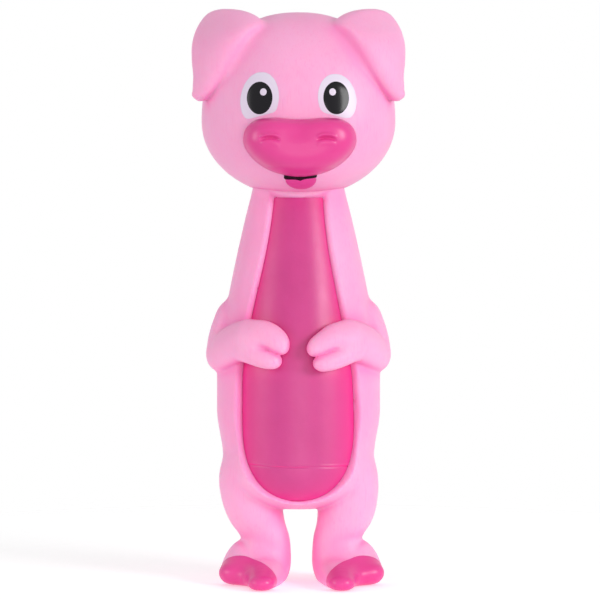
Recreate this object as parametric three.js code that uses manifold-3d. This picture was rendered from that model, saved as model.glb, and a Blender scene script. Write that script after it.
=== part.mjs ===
// A soft vinyl pig for dogs that hugs a crackle bottle, with a squeaker in the back of its head.
// Millimetres, +Z up. The pig looks towards -Y and stands with both feet on the plane z = 0.

import * as THREE from "three";
import { mergeVertices } from "three/addons/utils/BufferGeometryUtils.js";
import Module from "manifold-3d";

const wasm = await Module();
wasm.setup();

// Gaps between pieces
const SEAT_GAP = 0.3;
const BOTTLE_CLEARANCE = 0.7;

// Bottle
const BOTTLE_RADIUS = 36;
const BOTTLE_FOOT_RADIUS = 25;
const BOTTLE_BASE_HEIGHT = 19.6;
const BOTTLE_BODY_HEIGHT = 46;
const BOTTLE_SHOULDER_HEIGHT = 114;
const BOTTLE_SHOULDER_POWER = 1.3;
const BOTTLE_NECK_RADIUS = 13.3;
const BOTTLE_NECK_HEIGHT = 18;
const BOTTLE_WALL = 0.9;
const BOTTLE_PUNT_HEIGHT = 5;
const SUPPORT_RING_REACH = 2.6;
const MOULD_LINE_DEPTH = 0.5;

// Body sleeve
const LEG_HEIGHT = 38.5;
const SKIN_WALL = 3.5;
const SLEEVE_FLOOR = 5;
const SIDE_SWELL = 2.9;
const HIP_FADE_HEIGHT = 28;
const BELLY_POWER = 2.6;
const NECK_RISE = 97;
const COLLAR_BEAD_REACH = 1.8;
const COLLAR_BEAD_HEIGHT = 2.8;
const COLLAR_BEAD_LIFT = 1;

// Window in the front of the sleeve
const WINDOW_HALF_WIDTH = 29.2;
const WINDOW_TOP_HALF_WIDTH = 13;
const WINDOW_BOTTOM_RISE = 6.5;
const WINDOW_TOP_DROP = 3;

// Head
const HEAD_HALF_WIDTH = 51.5;
const HEAD_HALF_DEPTH = 45;
const HEAD_LOWER_HEIGHT = 39.5;
const HEAD_UPPER_HEIGHT = 58;
const HEAD_FORWARD = 3;
const HEAD_SINK = 2.5;
const HEAD_WALL = 4.2;
const CROWN_POWER = 2.3;
const JAW_POWER = 2;
const CHIN_POWER = 3;
const HEAD_RING_POWER = 2.15;

// Ears
const EAR_HEIGHT = 48;
const EAR_RISE = 2.6;
const EAR_REACH = 3.2;
const EAR_THICKNESS = 11;
const EAR_LEAN = 0.22;

// Snout
const SNOUT_HALF_WIDTH = 28.7;
const SNOUT_HALF_HEIGHT = 14.1;
const SNOUT_REACH = 15;
const SNOUT_DROP = 16;
const NOSTRIL_SPACING = 25.6;
const NOSTRIL_WIDTH = 9;

// Painted face
const PAINT_THICKNESS = 0.4;
const EYE_SPACING = 39.6;
const EYE_RISE = 10.2;
const EYE_HALF_WIDTH = 9.8;
const EYE_HALF_HEIGHT = 13;
const PUPIL_HALF_WIDTH = 6.4;
const PUPIL_HALF_HEIGHT = 8.2;
const GLINT_RADIUS = 1.8;
const MOUTH_HALF_WIDTH = 8.4;
const MOUTH_THICKNESS = 1.7;
const MOUTH_DROP = 31.1;
const TONGUE_HALF_WIDTH = 7.6;
const TONGUE_LENGTH = 4.4;

// Arms
const ARM_RISE = 122.5;
const SHOULDER_RISE = 146;
const ARM_THICKNESS = 14;
const FOREARM_HEIGHT = 26;
const FINGER_HEIGHT = 12;

// Legs and feet
const ANKLE_HALF_WIDTH = 13;
const ANKLE_SPACING = 37.2;
const ANKLE_RISE = 22;
const THIGH_SWELL = 2.6;
const FOOT_AHEAD = 8;
const FOOT_OUTSET = 8;
const FOOT_HALF_WIDTH = 15.4;
const FOOT_HALF_LENGTH = 14;
const FOOT_HEIGHT = 23.8;
const TOE_HALF_WIDTH = 12.4;
const TOE_TIP_HEIGHT = 8.6;
const INNER_TOE_OUTSET = 3;
const INNER_TOE_AHEAD = 48;
const OUTER_TOE_OUTSET = 21.4;
const OUTER_TOE_AHEAD = 25;
const OUTER_TOE_LIFT = 2.2;
const HOOF_TURN = 32;
const HOOF_AHEAD = 33;

// Tail
const TAIL_CURL_RADIUS = 6;
const TAIL_THICKNESS = 5;
const TAIL_RISE = 84;

// Squeaker
const SQUEAKER_RADIUS = 9;
const SQUEAKER_LENGTH = 11;
const SQUEAKER_WALL = 1.2;
const FLANGE_REACH = 3;
const FLANGE_THICKNESS = 1.6;
const VENT_RADIUS = 1.5;
const REED_BLOCK_LENGTH = 3;
const REED_LENGTH = 9;
const REED_WIDTH = 3;
const REED_THICKNESS = 0.4;

// Levels and places that follow from the sizes above
const bottleFootZ = LEG_HEIGHT + SLEEVE_FLOOR + BOTTLE_CLEARANCE;
const mouldLineZ = bottleFootZ + BOTTLE_BASE_HEIGHT;
const bottleBodyTopZ = mouldLineZ + BOTTLE_BODY_HEIGHT;
const bottleShoulderTopZ = bottleBodyTopZ + BOTTLE_SHOULDER_HEIGHT;
const neckZ = bottleBodyTopZ + NECK_RISE;
const headZ = neckZ - HEAD_SINK + HEAD_LOWER_HEIGHT;
const headTopZ = headZ + HEAD_UPPER_HEIGHT;
const snoutZ = headZ - SNOUT_DROP;

// Solids and meshes

function solidOf(geometry) {
  const bare = geometry.clone();
  bare.deleteAttribute("normal");
  bare.deleteAttribute("uv");
  const merged = mergeVertices(bare, 1e-4);
  const vertProperties = new Float32Array(merged.attributes.position.array);
  const triVerts = new Uint32Array(merged.index.array);
  const solid = new wasm.Manifold(new wasm.Mesh({ numProp: 3, vertProperties, triVerts }));
  if (solid.volume() > 0) return solid;
  for (let i = 0; i < triVerts.length; i += 3) {
    [triVerts[i], triVerts[i + 1]] = [triVerts[i + 1], triVerts[i]];
  }
  return new wasm.Manifold(new wasm.Mesh({ numProp: 3, vertProperties, triVerts }));
}

function geometryOf(solid) {
  const mesh = solid.getMesh();
  const geometry = new THREE.BufferGeometry();
  geometry.setAttribute("position", new THREE.BufferAttribute(new Float32Array(mesh.vertProperties), 3));
  geometry.setIndex(new THREE.BufferAttribute(new Uint32Array(mesh.triVerts), 1));
  geometry.computeVertexNormals();
  return geometry;
}

// Skin over a row of rings with equal point counts, closed at both ends by fans.
function loft(rings) {
  const count = rings[0].length;
  const points = rings.flat();
  const index = [];
  for (let row = 0; row + 1 < rings.length; row += 1) {
    for (let i = 0; i < count; i += 1) {
      const a = row * count + i;
      const b = row * count + ((i + 1) % count);
      index.push(a, b, a + count, b, b + count, a + count);
    }
  }
  for (const row of [0, rings.length - 1]) {
    const middle = new THREE.Vector3();
    rings[row].forEach((p) => middle.addScaledVector(p, 1 / count));
    points.push(middle);
    for (let i = 0; i < count; i += 1) {
      const a = row * count + i;
      const b = row * count + ((i + 1) % count);
      index.push(...(row === 0 ? [b, a, points.length - 1] : [a, b, points.length - 1]));
    }
  }
  const geometry = new THREE.BufferGeometry().setFromPoints(points);
  geometry.setIndex(index);
  return solidOf(geometry);
}

function signedPower(value, power) {
  return Math.sign(value) * Math.abs(value) ** power;
}

// Level ring of a superellipse round (x, y) at height z, turned by an angle.
function levelRing(x, y, z, halfX, halfY, power, count, turn = 0) {
  const ring = [];
  for (let i = 0; i < count; i += 1) {
    const angle = (2 * Math.PI * i) / count;
    const u = halfX * signedPower(Math.cos(angle), 2 / power);
    const v = halfY * signedPower(Math.sin(angle), 2 / power);
    const px = x + u * Math.cos(turn) - v * Math.sin(turn);
    const py = y + u * Math.sin(turn) + v * Math.cos(turn);
    ring.push(new THREE.Vector3(px, py, z));
  }
  return ring;
}

// Evenly spread values from one end to the other.
function spread(from, to, steps) {
  return Array.from({ length: steps + 1 }, (_, i) => from + ((to - from) * i) / steps);
}

function smoothStep(from, to, value) {
  return THREE.MathUtils.smoothstep(value, from, to);
}

// Ellipsoid with its own half sizes, turned about the vertical.
function ellipsoid(centre, halfX, halfY, halfZ, turn = 0, segments = 24, rows = 12) {
  const geometry = new THREE.SphereGeometry(1, segments, rows);
  geometry.rotateX(Math.PI / 2);
  geometry.scale(halfX, halfY, halfZ);
  geometry.rotateZ(turn);
  geometry.translate(centre.x, centre.y, centre.z);
  return solidOf(geometry);
}

function block(width, depth, height, x, y, z) {
  const geometry = new THREE.BoxGeometry(width, depth, height);
  geometry.translate(x, y, z);
  return solidOf(geometry);
}

const toy = new THREE.Group();
toy.name = "pig_dog_toy";

function addPiece(name, solid, material) {
  const mesh = new THREE.Mesh(geometryOf(solid), material.clone());
  mesh.name = name;
  toy.add(mesh);
}

function vinyl(color, roughness) {
  return new THREE.MeshStandardMaterial({ color, roughness, metalness: 0 });
}

const skinMaterial = vinyl(0xfaacdb, 0.55);
const magentaMaterial = vinyl(0xe04694, 0.35);
const bottleMaterial = vinyl(0xe0408f, 0.22);
const eyeWhiteMaterial = vinyl(0xece6f2, 0.2);
const blackMaterial = vinyl(0x1f1b22, 0.18);
const squeakerMaterial = vinyl(0xf2efe9, 0.45);

// Bottle: round base, straight body, long curved shoulder and a screw-type neck.

function bottleRadiusAt(z) {
  if (z < mouldLineZ) {
    const u = Math.min((mouldLineZ - z) / BOTTLE_BASE_HEIGHT, 1);
    return BOTTLE_FOOT_RADIUS + (BOTTLE_RADIUS - BOTTLE_FOOT_RADIUS) * Math.sqrt(1 - u * u);
  }
  const t = Math.max(z - bottleBodyTopZ, 0) / BOTTLE_SHOULDER_HEIGHT;
  return BOTTLE_RADIUS - (BOTTLE_RADIUS - BOTTLE_NECK_RADIUS) * t ** BOTTLE_SHOULDER_POWER;
}

// Heights up the round base, closer together near the foot.
function baseLevels(steps) {
  return spread(0.15, 1, steps).map((u) => {
    return mouldLineZ - BOTTLE_BASE_HEIGHT * Math.cos((u * Math.PI) / 2);
  });
}

// Outline of the bottle from the foot to the top of the shoulder, moved in by a wall.
function bottleSide(inset, baseSteps, shoulderSteps) {
  const base = baseLevels(baseSteps);
  const shoulder = spread(bottleBodyTopZ, bottleShoulderTopZ, shoulderSteps);
  return [...base, ...shoulder].map((z) => new THREE.Vector2(bottleRadiusAt(z) - inset, z));
}

function makeBottle() {
  const neckTopZ = bottleShoulderTopZ + BOTTLE_NECK_HEIGHT;
  const ringZ = bottleShoulderTopZ + BOTTLE_NECK_HEIGHT * 0.2;
  const puntRadius = BOTTLE_FOOT_RADIUS * 0.72;
  const puntZ = bottleFootZ + BOTTLE_PUNT_HEIGHT;
  const ringRadius = BOTTLE_NECK_RADIUS + SUPPORT_RING_REACH;
  const bore = BOTTLE_NECK_RADIUS - BOTTLE_WALL * 2;
  const outer = bottleSide(0, 4, 7);
  const lineAt = outer.findIndex((p) => p.y >= mouldLineZ - 1e-6);
  const groove = [
    new THREE.Vector2(BOTTLE_RADIUS - MOULD_LINE_DEPTH, mouldLineZ + 0.6),
    new THREE.Vector2(BOTTLE_RADIUS, mouldLineZ + 1.4),
  ];
  outer.splice(lineAt + 1, 0, ...groove);
  const inner = bottleSide(BOTTLE_WALL, 2, 4).reverse();
  const points = [
    new THREE.Vector2(0, puntZ),
    new THREE.Vector2(puntRadius * 0.6, puntZ - BOTTLE_PUNT_HEIGHT * 0.25),
    new THREE.Vector2(puntRadius, bottleFootZ),
    new THREE.Vector2(BOTTLE_FOOT_RADIUS, bottleFootZ),
    ...outer,
    new THREE.Vector2(BOTTLE_NECK_RADIUS, ringZ),
    new THREE.Vector2(ringRadius, ringZ + 0.4),
    new THREE.Vector2(ringRadius, ringZ + 1.6),
    new THREE.Vector2(BOTTLE_NECK_RADIUS, ringZ + 2),
    new THREE.Vector2(BOTTLE_NECK_RADIUS, neckTopZ),
    new THREE.Vector2(bore, neckTopZ),
    new THREE.Vector2(bore, bottleShoulderTopZ + 1),
    ...inner,
    new THREE.Vector2(BOTTLE_FOOT_RADIUS - BOTTLE_WALL, bottleFootZ + BOTTLE_WALL),
    new THREE.Vector2(puntRadius, bottleFootZ + BOTTLE_WALL),
    new THREE.Vector2(puntRadius * 0.6, puntZ - BOTTLE_PUNT_HEIGHT * 0.25 + BOTTLE_WALL),
    new THREE.Vector2(0, puntZ + BOTTLE_WALL),
  ];
  const standing = new THREE.LatheGeometry(points, 34);
  standing.rotateX(Math.PI / 2);
  return solidOf(standing);
}

// Body sleeve: follows the bottle with a wall, swells a little at the sides, closes below in a round belly.

function sleeveHalfDepthAt(z) {
  const hip = BOTTLE_RADIUS + BOTTLE_CLEARANCE + SKIN_WALL;
  if (z >= mouldLineZ) return bottleRadiusAt(z) + BOTTLE_CLEARANCE + SKIN_WALL;
  const u = Math.min((mouldLineZ - z) / (mouldLineZ - LEG_HEIGHT), 1);
  return hip * (1 - u ** BELLY_POWER) ** (1 / BELLY_POWER);
}

function sleeveHalfWidthAt(z) {
  return sleeveHalfDepthAt(z) + SIDE_SWELL * smoothStep(mouldLineZ, mouldLineZ + HIP_FADE_HEIGHT, z);
}

function sleeveRing(z, grow, count) {
  return levelRing(0, 0, z, sleeveHalfWidthAt(z) + grow, sleeveHalfDepthAt(z) + grow, 2, count);
}

// Point on the sleeve at an angle from straight ahead, lifted off the surface.
function sleevePoint(angle, z, lift) {
  const x = (sleeveHalfWidthAt(z) + lift) * Math.sin(angle);
  const y = -(sleeveHalfDepthAt(z) + lift) * Math.cos(angle);
  return new THREE.Vector3(x, y, z);
}

function sleeveForm(grow, topZ) {
  const belly = spread(0.05, 1, 6).map((u) => {
    const z = mouldLineZ - (mouldLineZ - LEG_HEIGHT) * Math.cos((u * Math.PI) / 2);
    return sleeveRing(z, 0, 36).map((p) => {
      const level = p.z - grow * Math.cos((u * Math.PI) / 2);
      const reach = Math.hypot(p.x, p.y);
      const scale = (reach + grow) / reach;
      return new THREE.Vector3(p.x * scale, p.y * scale, level);
    });
  });
  const sides = spread(mouldLineZ + 8, topZ, 10).map((z) => sleeveRing(z, grow, 36));
  return loft([...belly, ...sides]);
}

// Height of the inner floor of the head above a point beside the neck.
function headFloorZ(x, y) {
  const width = HEAD_HALF_WIDTH - HEAD_WALL;
  const depth = HEAD_HALF_DEPTH - HEAD_WALL;
  const height = HEAD_LOWER_HEIGHT - HEAD_WALL;
  const side = (1 - (x / width) ** JAW_POWER) ** (1 / JAW_POWER);
  const front = (1 - (y / depth) ** CHIN_POWER) ** (1 / CHIN_POWER);
  return headZ - height * Math.min(side, front);
}

const beadReachX = sleeveHalfWidthAt(neckZ) + COLLAR_BEAD_REACH;
const beadReachY = sleeveHalfDepthAt(neckZ) + COLLAR_BEAD_REACH + HEAD_FORWARD;
const beadZ = headFloorZ(beadReachX, beadReachY) + COLLAR_BEAD_LIFT;
const collarTopZ = beadZ + COLLAR_BEAD_HEIGHT;

function windowCutter(margin) {
  const bottomZ = LEG_HEIGHT + WINDOW_BOTTOM_RISE + margin;
  const topZ = neckZ - WINDOW_TOP_DROP - margin;
  const half = WINDOW_HALF_WIDTH - margin;
  const topHalf = WINDOW_TOP_HALF_WIDTH - margin;
  const wideZ = bottomZ + half;
  const straightZ = Math.max(wideZ + 2, bottleBodyTopZ - 18);
  const outline = new THREE.Shape();
  outline.moveTo(-half, wideZ);
  outline.absarc(0, wideZ, half, Math.PI, 2 * Math.PI, false);
  outline.lineTo(half, straightZ);
  outline.quadraticCurveTo(half * 0.96, bottleBodyTopZ + 10, topHalf + 1.2, topZ - 8);
  outline.quadraticCurveTo(topHalf, topZ, topHalf - 2.5, topZ);
  outline.lineTo(-topHalf + 2.5, topZ);
  outline.quadraticCurveTo(-topHalf, topZ, -topHalf - 1.2, topZ - 8);
  outline.quadraticCurveTo(-half * 0.96, bottleBodyTopZ + 10, -half, straightZ);
  outline.closePath();
  const depth = BOTTLE_RADIUS * 2;
  const geometry = new THREE.ExtrudeGeometry(outline, { depth, bevelEnabled: false, curveSegments: 9 });
  geometry.rotateX(Math.PI / 2);
  geometry.translate(0, -2, 0);
  return solidOf(geometry);
}

// Room for the bottle, from the floor of the sleeve up through the collar.
function bottleRoom(grow, topZ) {
  const base = baseLevels(3);
  const sides = spread(bottleBodyTopZ, topZ, 7);
  const rings = [...base, ...sides].map((z) => {
    const radius = bottleRadiusAt(z) + grow;
    return levelRing(0, 0, z, radius, radius, 2, 32);
  });
  const foot = levelRing(0, 0, bottleFootZ - grow, BOTTLE_FOOT_RADIUS, BOTTLE_FOOT_RADIUS, 2, 32);
  return loft([foot, ...rings]);
}

const sleeveOuter = sleeveForm(0, collarTopZ);
const sleeveGrown = sleeveForm(SEAT_GAP, collarTopZ);

function makeSleeve() {
  const bead = loft([
    levelRing(0, 0, beadZ, sleeveHalfWidthAt(beadZ) - 1, sleeveHalfDepthAt(beadZ) - 1, 2, 36),
    levelRing(0, 0, beadZ, beadReachX, beadReachY - HEAD_FORWARD, 2, 36),
    levelRing(0, 0, collarTopZ, beadReachX - 1, beadReachY - HEAD_FORWARD - 1, 2, 36),
  ]);
  const room = bottleRoom(BOTTLE_CLEARANCE, collarTopZ + 5);
  return sleeveOuter.add(bead).subtract(room).subtract(windowCutter(0));
}

// Head: a broad jaw below, a rounder crown above.

function headHalfAt(z, inset) {
  const width = HEAD_HALF_WIDTH - inset;
  const depth = HEAD_HALF_DEPTH - inset;
  if (z >= headZ) {
    const u = Math.min((z - headZ) / (HEAD_UPPER_HEIGHT - inset), 1);
    const crown = (1 - u ** CROWN_POWER) ** (1 / CROWN_POWER);
    return { x: width * crown, y: depth * crown };
  }
  const u = Math.min((headZ - z) / (HEAD_LOWER_HEIGHT - inset), 1);
  const jaw = (1 - u ** JAW_POWER) ** (1 / JAW_POWER);
  const chin = (1 - u ** CHIN_POWER) ** (1 / CHIN_POWER);
  return { x: width * jaw, y: depth * chin };
}

function headForm(inset, count, rows) {
  const lower = HEAD_LOWER_HEIGHT - inset;
  const upper = HEAD_UPPER_HEIGHT - inset;
  const below = spread(0.05, 1, rows).map((u) => headZ - lower * Math.cos((u * Math.PI) / 2));
  const above = spread(0, 0.95, rows + 1).map((u) => headZ + upper * Math.sin((u * Math.PI) / 2));
  const rings = [...below, ...above.slice(1)].map((z) => {
    const half = headHalfAt(z, inset);
    return levelRing(0, -HEAD_FORWARD, z, half.x, half.y, HEAD_RING_POWER, count);
  });
  return loft(rings);
}

// Depth of the head's surface in front of or behind the point (x, z).
function headReachAt(x, z, grow = 0) {
  const half = headHalfAt(z, -grow);
  const inside = Math.max(1 - Math.abs(x / half.x) ** HEAD_RING_POWER, 0);
  return half.y * inside ** (1 / HEAD_RING_POWER);
}

function faceY(x, z, grow) {
  return -HEAD_FORWARD - headReachAt(x, z, grow);
}

// The squeaker sits in a flat-bottomed seat at the back of the head.
const squeakerZ = headZ + HEAD_UPPER_HEIGHT * 0.12;
const flangeRadius = SQUEAKER_RADIUS + FLANGE_REACH;
const seatY = headReachAt(flangeRadius + 1, squeakerZ - 2) - HEAD_FORWARD - FLANGE_THICKNESS - 0.4;

function roundBar(radius, fromY, toY, x, z, segments) {
  const geometry = new THREE.CylinderGeometry(radius, radius, toY - fromY, segments);
  geometry.translate(x, (fromY + toY) / 2, z);
  return solidOf(geometry);
}

const headOuter = headForm(0, 36, 7);
const headGrown = headForm(-SEAT_GAP, 36, 7);

function makeHead() {
  const neckRings = spread(neckZ - 20, collarTopZ + 1, 4).map((z) => sleeveRing(z, SEAT_GAP, 36));
  const boss = roundBar(flangeRadius + 2, seatY - 3, seatY, 0, squeakerZ, 24);
  const bossInside = boss.intersect(headForm(1, 24, 5));
  const shell = headOuter.subtract(headForm(HEAD_WALL, 24, 5)).add(bossInside);
  const bore = roundBar(SQUEAKER_RADIUS + SEAT_GAP, seatY - 20, seatY + 10, 0, squeakerZ, 24);
  const seat = roundBar(flangeRadius + SEAT_GAP, seatY - SEAT_GAP, seatY + 20, 0, squeakerZ, 24);
  return shell.subtract(loft(neckRings)).subtract(bore).subtract(seat);
}

// Ear: a thick folded flap that leaves the crown, turns over and hangs beside the head.
// Each row holds the drop below the fold, the inner and outer edge, how far the inner edge lies
// ahead of the head's middle, and the bulk, all as shares of the ear's own sizes.
const EAR_ROWS = [
  { drop: 0.003, inner: 0.63, outer: 0.71, ahead: 0.34, bulk: 0.5 },
  { drop: 0.025, inner: 0.52, outer: 0.8, ahead: 0.45, bulk: 1.05 },
  { drop: 0.075, inner: 0.43, outer: 0.875, ahead: 0.55, bulk: 1.45 },
  { drop: 0.15, inner: 0.405, outer: 0.93, ahead: 0.63, bulk: 1.7 },
  { drop: 0.26, inner: 0.485, outer: 0.975, ahead: 0.69, bulk: 1.75 },
  { drop: 0.4, inner: 0.57, outer: 1, ahead: 0.72, bulk: 1.65 },
  { drop: 0.57, inner: 0.65, outer: 1, ahead: 0.7, bulk: 1.45 },
  { drop: 0.73, inner: 0.73, outer: 0.99, ahead: 0.64, bulk: 1.25 },
  { drop: 0.87, inner: 0.795, outer: 0.99, ahead: 0.56, bulk: 1.05 },
  { drop: 0.96, inner: 0.845, outer: 0.985, ahead: 0.48, bulk: 0.8 },
  { drop: 1, inner: 0.88, outer: 0.95, ahead: 0.43, bulk: 0.35 },
];

function makeEar() {
  const reach = HEAD_HALF_WIDTH + EAR_REACH;
  const topZ = headTopZ + EAR_RISE;
  const rings = EAR_ROWS.map((row) => {
    const z = topZ - EAR_HEIGHT * row.drop;
    const innerX = reach * row.inner;
    const outerX = reach * row.outer;
    const innerY = -HEAD_FORWARD - HEAD_HALF_DEPTH * row.ahead;
    const outerY = innerY + (outerX - innerX) * 0.85;
    const turn = Math.atan2(outerY - innerY, outerX - innerX);
    const half = Math.hypot(outerY - innerY, outerX - innerX) / 2;
    const bulk = (EAR_THICKNESS / 2) * row.bulk;
    const ring = levelRing((innerX + outerX) / 2, (innerY + outerY) / 2, z, half, bulk, 2.2, 18, turn);
    ring.forEach((p) => p.setZ(p.z - EAR_LEAN * (outerY - p.y)));
    return ring;
  });
  return loft(rings).subtract(headGrown);
}

// Snout: a flat-topped, bowl-bottomed bulge in front of the face with two nostril dents.

function snoutForm(grow) {
  const baseY = faceY(0, snoutZ, 0) + 12;
  const reach = SNOUT_REACH + 12 + grow;
  const rings = spread(0, 0.97, 7).map((u) => {
    const size = Math.cos((u * Math.PI) / 2) ** 0.62;
    const y = baseY - reach * Math.sin((u * Math.PI) / 2);
    return levelRing(0, 0, 0, 1, 1, 2, 26).map((p) => {
      const power = p.y > 0 ? 2 / 2.9 : 2 / 2.1;
      const x = (SNOUT_HALF_WIDTH + grow) * size * signedPower(p.x, p.y > 0 ? 2 / 2.5 : 1);
      const z = snoutZ + (SNOUT_HALF_HEIGHT + grow) * size * signedPower(p.y, power);
      return new THREE.Vector3(x, y, z);
    });
  });
  return loft(rings);
}

function makeSnout() {
  let snout = snoutForm(0).subtract(headGrown);
  const dentZ = snoutZ + SNOUT_HALF_HEIGHT * 0.36;
  const dentY = faceY(0, snoutZ, 0) - SNOUT_REACH * 0.97;
  for (const side of [-1, 1]) {
    const centre = new THREE.Vector3((side * NOSTRIL_SPACING) / 2, dentY, dentZ);
    snout = snout.subtract(ellipsoid(centre, NOSTRIL_WIDTH / 2, 2.2, 1.6, 0, 12, 8));
  }
  return snout;
}

// Painted patch: a thin film that follows the face, between two distances from it.
// The outline gives a point (x, z) for an angle and a share of the way from the middle.
function facePatch(outline, level, segments, rows) {
  const near = SEAT_GAP + level * (PAINT_THICKNESS + SEAT_GAP);
  const points = [];
  const index = [];
  const film = (share, angle, distance) => {
    const at = outline(share, angle);
    return new THREE.Vector3(at.x, faceY(at.x, at.z, distance), at.z);
  };
  for (const distance of [near, near + PAINT_THICKNESS]) {
    points.push(film(0, 0, distance));
    for (let row = 1; row <= rows; row += 1) {
      for (let i = 0; i < segments; i += 1) {
        points.push(film(row / rows, (2 * Math.PI * i) / segments, distance));
      }
    }
  }
  const half = points.length / 2;
  const at = (side, row, i) => side * half + 1 + (row - 1) * segments + (i % segments);
  for (let i = 0; i < segments; i += 1) {
    index.push(0, at(0, 1, i), at(0, 1, i + 1));
    index.push(half, at(1, 1, i + 1), at(1, 1, i));
    for (let row = 1; row < rows; row += 1) {
      index.push(at(0, row, i), at(0, row + 1, i), at(0, row + 1, i + 1));
      index.push(at(0, row, i), at(0, row + 1, i + 1), at(0, row, i + 1));
      index.push(at(1, row, i), at(1, row + 1, i + 1), at(1, row + 1, i));
      index.push(at(1, row, i), at(1, row, i + 1), at(1, row + 1, i + 1));
    }
    index.push(at(0, rows, i), at(1, rows, i), at(1, rows, i + 1));
    index.push(at(0, rows, i), at(1, rows, i + 1), at(0, rows, i + 1));
  }
  const geometry = new THREE.BufferGeometry().setFromPoints(points);
  geometry.setIndex(index);
  return solidOf(geometry);
}

const eyeZ = headZ + EYE_RISE;

// Egg outline of an eye white: narrower above, cut straight below where the snout rises.
function eyeOutline(side) {
  return (share, angle) => {
    const egg = 1 - 0.12 * Math.sin(angle);
    const u = EYE_HALF_WIDTH * Math.cos(angle) * egg;
    const cut = -EYE_HALF_HEIGHT * 0.98 + 0.3 * (EYE_HALF_WIDTH - u * side);
    const v = Math.max(EYE_HALF_HEIGHT * Math.sin(angle), cut);
    return { x: (side * EYE_SPACING) / 2 + u * share, z: eyeZ + v * share };
  };
}

function ovalOutline(x, z, halfWidth, halfHeight) {
  return (share, angle) => ({
    x: x + halfWidth * share * Math.cos(angle),
    z: z + halfHeight * share * Math.sin(angle),
  });
}

const mouthZ = headZ - MOUTH_DROP;

function mouthOutline(share, angle) {
  const x = MOUTH_HALF_WIDTH * share * signedPower(Math.cos(angle), 0.8);
  const dip = 0.8 * Math.exp(-((x / 2.2) ** 2)) - 0.012 * x * x;
  return { x, z: mouthZ - dip + (MOUTH_THICKNESS / 2) * share * signedPower(Math.sin(angle), 0.8) };
}

function tongueOutline(share, angle) {
  const x = TONGUE_HALF_WIDTH * share * Math.cos(angle);
  const top = mouthZ - MOUTH_THICKNESS / 2 - 0.8 - SEAT_GAP;
  const v = Math.sin(angle) > 0 ? 0.12 * Math.sin(angle) : Math.sin(angle);
  return { x, z: top - TONGUE_LENGTH * 0.16 + TONGUE_LENGTH * 0.84 * share * v };
}

// Limb: an oval section carried along a curve, swelling between its stations and round at both ends.
// A station holds a middle, the direction of its thickness, the half thickness and the half height.
function limb(stations, count, rows) {
  const path = new THREE.CatmullRomCurve3(stations.map((s) => s.at));
  const blend = (t, key) => {
    const place = Math.min(t * (stations.length - 1), stations.length - 1 - 1e-9);
    const from = Math.floor(place);
    const share = smoothStep(0, 1, place - from);
    const a = stations[from][key];
    const b = stations[from + 1][key];
    return a.isVector3 ? a.clone().lerp(b, share).normalize() : a + (b - a) * share;
  };
  const rings = spread(-0.96, 0.96, rows).map((v) => {
    const t = Math.sin((v * Math.PI) / 2) * 0.5 + 0.5;
    const end = Math.sqrt(1 - Math.abs(Math.sin((v * Math.PI) / 2)) ** 5);
    const along = path.getTangent(t);
    const out = blend(t, "out");
    const up = new THREE.Vector3().crossVectors(along, out).normalize();
    const thick = blend(t, "thick") * end;
    const high = blend(t, "high") * end;
    return levelRing(0, 0, 0, thick, high, 2, count).map((p) => {
      return path.getPoint(t).addScaledVector(out, p.x).addScaledVector(up, p.y);
    });
  });
  return loft(rings);
}

function sleeveStation(degrees, z, lift, thick, high) {
  const angle = THREE.MathUtils.degToRad(degrees);
  const at = sleevePoint(angle, z, lift);
  const out = new THREE.Vector3(Math.sin(angle), -Math.cos(angle), 0);
  return { at, out, thick, high };
}

// Arm of the pig's left side: upper arm down the flank, forearm round to the front, two fingers.
function makeArm() {
  const thick = ARM_THICKNESS / 2;
  const high = FOREARM_HEIGHT / 2;
  const finger = FINGER_HEIGHT / 2;
  const upper = limb([
    sleeveStation(84, SHOULDER_RISE + 4, -4.5, thick * 0.6, 6),
    sleeveStation(83, (SHOULDER_RISE + ARM_RISE) / 2, -1, thick * 0.95, 11),
    sleeveStation(80, ARM_RISE - 11, -0.8, thick, 12),
  ], 14, 8);
  const fore = limb([
    sleeveStation(94, ARM_RISE - 2, -1, thick * 0.85, high * 0.8),
    sleeveStation(62, ARM_RISE + 2, 0.5, thick * 1.05, high * 0.98),
    sleeveStation(28, ARM_RISE + 8, 1.5, thick, high * 0.8),
  ], 14, 9);
  const upperFinger = limb([
    sleeveStation(42, ARM_RISE + 8, 1.5, thick * 0.95, finger * 1.3),
    sleeveStation(20, ARM_RISE + 9, 2, thick * 0.95, finger * 1.3),
    sleeveStation(5.2, ARM_RISE + 2.2, 0.6, thick * 0.8, finger * 0.95),
  ], 12, 7);
  const lowerFinger = limb([
    sleeveStation(38, ARM_RISE + 2, 1.5, thick * 0.95, finger * 0.9),
    sleeveStation(23, ARM_RISE - 2.2, 1.8, thick * 0.9, finger),
    sleeveStation(9.2, ARM_RISE - 4.6, 0.6, thick * 0.8, finger * 0.9),
  ], 12, 7);
  const whole = upper.add(fore).add(upperFinger).add(lowerFinger);
  const skin = sleeveGrown.subtract(windowCutter(SEAT_GAP));
  return whole.subtract(skin).subtract(bottleRoom(BOTTLE_CLEARANCE, collarTopZ));
}

// Leg of the pig's left side and its foot, turned outwards, with the hoof as its own front piece.

const ankle = new THREE.Vector3(ANKLE_SPACING / 2, -3, ANKLE_RISE);

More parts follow.
